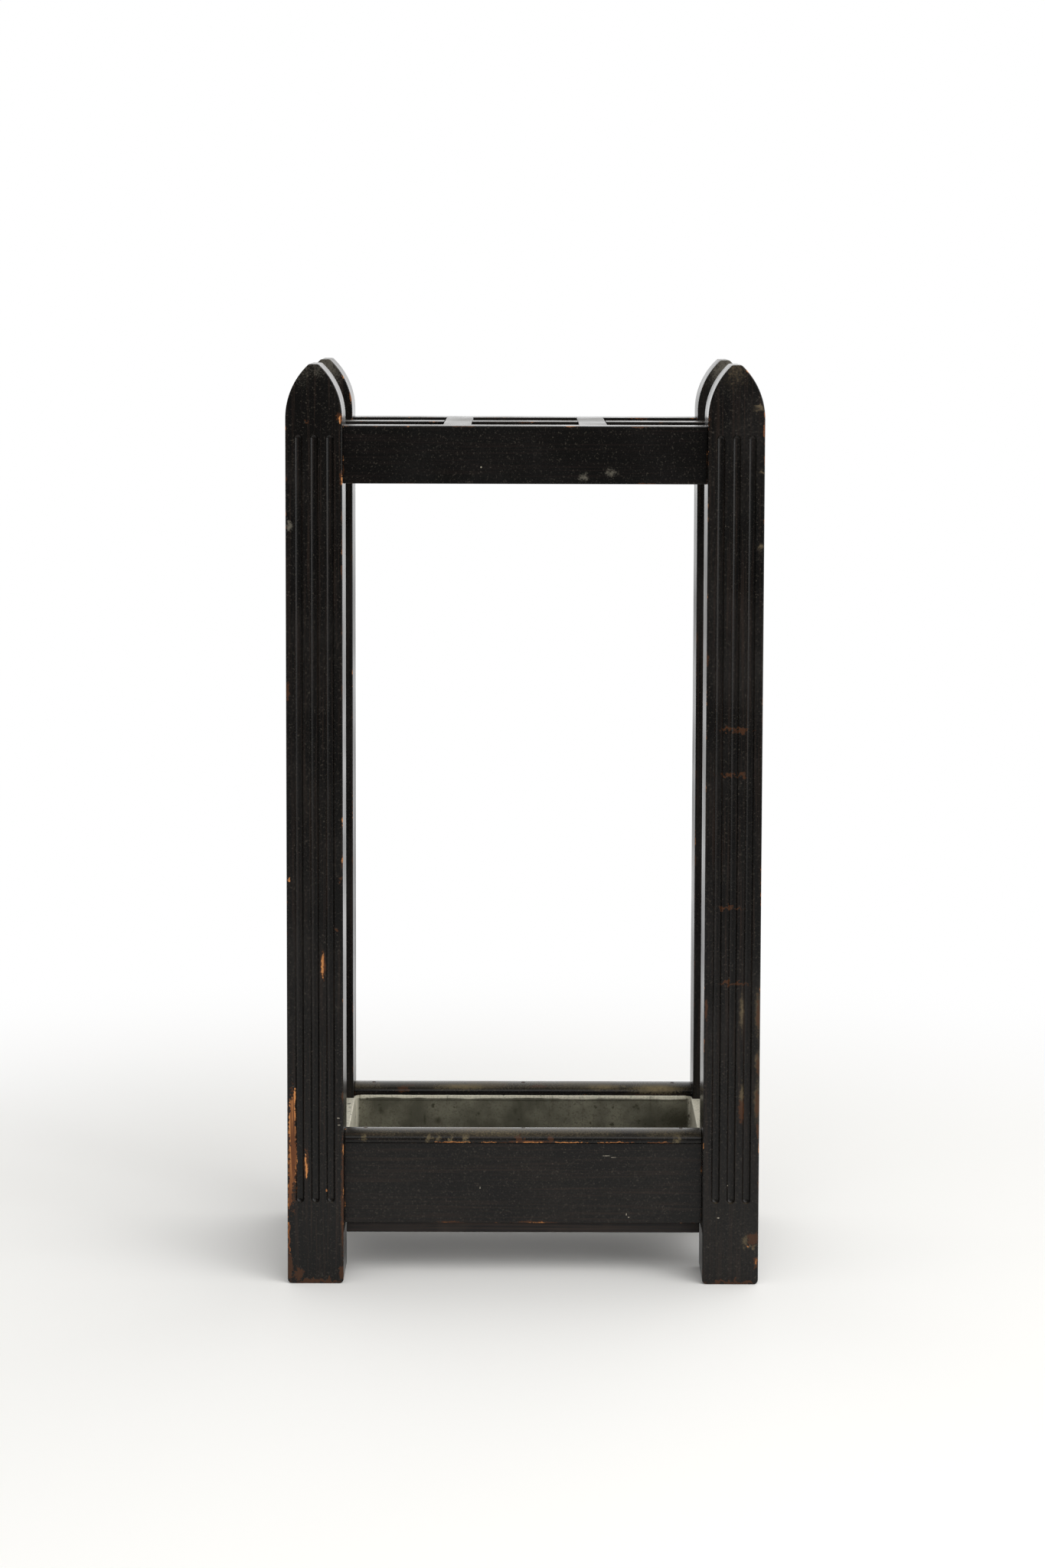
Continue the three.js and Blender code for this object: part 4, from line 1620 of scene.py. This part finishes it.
@dataclass(frozen=True)
class Lamp:
    """A broad soft lamp that looks at the middle of the stand."""

    name: str
    place: Point
    size: tuple[float, float]
    power: float
    aim: Point = (0.0, 0.0, 0.3)

    def build(self) -> None:
        """Hangs the lamp."""
        lamp = bpy.data.lights.new(self.name, "AREA")
        lamp.shape = "RECTANGLE"
        lamp.size, lamp.size_y = self.size
        lamp.energy = self.power
        holder = placed(self.name, lamp)
        holder.location = self.place
        toward = Vector(self.aim) - Vector(self.place)
        holder.rotation_euler = toward.to_track_quat("-Z", "Y").to_euler()


@dataclass(frozen=True)
class Studio:
    """Pale floor, a white room, soft lamps and the camera."""

    camera_at: Point = (-2.4 * MM, -2394.9 * MM, 787.85 * MM)
    camera_down: float = 4.237  # degrees below level
    camera_roll: float = -0.156
    lens: float = 68.73  # mm on a frame 36 mm high
    lens_shift: float = -0.18
    floor_radius: float = 9.0
    sky_low: float = 1.75  # strength of the room's light at the horizon
    sky_fall: float = 1.35  # how much weaker it is overhead
    sky_right: float = 0.4  # how much stronger it is to the right
    bright_side: Point = (0.89, 0.45, 0.0)  # the room is mirrored white this way, dark the other way
    mirrored_white: float = 1.6
    lamps: tuple[Lamp, ...] = (
        Lamp("soft_lamp_above_front", (0.6, -1.9, 2.3), (2.6, 1.6), 22.0),
        Lamp("soft_lamp_right", (2.1, -1.4, 1.0), (1.4, 2.0), 18.0),
    )

    def build(self) -> None:
        """Sets up everything round the stand."""
        self._floor()
        self._room()
        for lamp in self.lamps:
            lamp.build()
        self._camera()
        bpy.context.scene.view_settings.view_transform = "Standard"

    def _floor(self) -> None:
        """A wide disc under the stand."""
        mesh = bmesh.new()
        bmesh.ops.create_circle(mesh, cap_ends=True, segments=96, radius=self.floor_radius)
        floor = placed("floor", stored("floor", mesh))
        floor.data.materials.append(dressed(PaleFloor()))

    def _room(self) -> None:
        """Even light all round, seen as plain white."""
        world = bpy.data.worlds.new("white_room")
        world.use_nodes = True
        world.node_tree.nodes.clear()
        tree = world.node_tree
        way = add(tree, "TexCoord", output="Generated")
        across, _, up = (add(tree, "SeparateXYZ", {0: way}, output=axis) for axis in range(3))
        sky = add(tree, "Math", {0: up, 1: -self.sky_fall, 2: self.sky_low}, operation="MULTIPLY_ADD")
        sky = add(tree, "Math", {0: across, 1: self.sky_right, 2: sky}, operation="MULTIPLY_ADD")
        toward = add(tree, "VectorMath", {0: way, 1: self.bright_side}, "Value", operation="DOT_PRODUCT")
        shown = add(tree, "MapRange", {0: toward, 1: -0.35, 2: 0.35, 3: ROOM_DARK, 4: self.mirrored_white})
        mirrored = add(tree, "Mix", {0: add(tree, "LightPath"), 2: shown, 3: 1.0})
        strength = add(tree, "Mix", {0: direct_view(tree), 2: sky, 3: mirrored})
        light = add(tree, "Background", {"Color": (1.0, 1.0, 1.0, 1.0), "Strength": strength})
        add(tree, "OutputWorld", {"Surface": light})
        bpy.context.scene.world = world

    def _camera(self) -> None:
        """The camera, in front and a little above."""
        camera = bpy.data.cameras.new("camera")
        camera.lens = self.lens
        camera.sensor_width = 36.0
        camera.shift_y = self.lens_shift
        camera.dof.use_dof = False
        holder = placed("camera", camera)
        holder.location = self.camera_at
        holder.rotation_euler = (math.radians(90 - self.camera_down), math.radians(self.camera_roll), 0.0)
        bpy.context.scene.camera = holder


def main() -> None:
    """Builds the stand, its studio and its camera."""
    logging.basicConfig(level=logging.INFO, format="%(name)s %(message)s")
    Studio().build()
    for piece in Carcass().pieces():
        piece.build()
    DripTray("drip_tray", ZincSheet(), body=TRAY, slot="zinc_sheet").build()
    Fixings().dress()


if __name__ == "__main__":
    main()
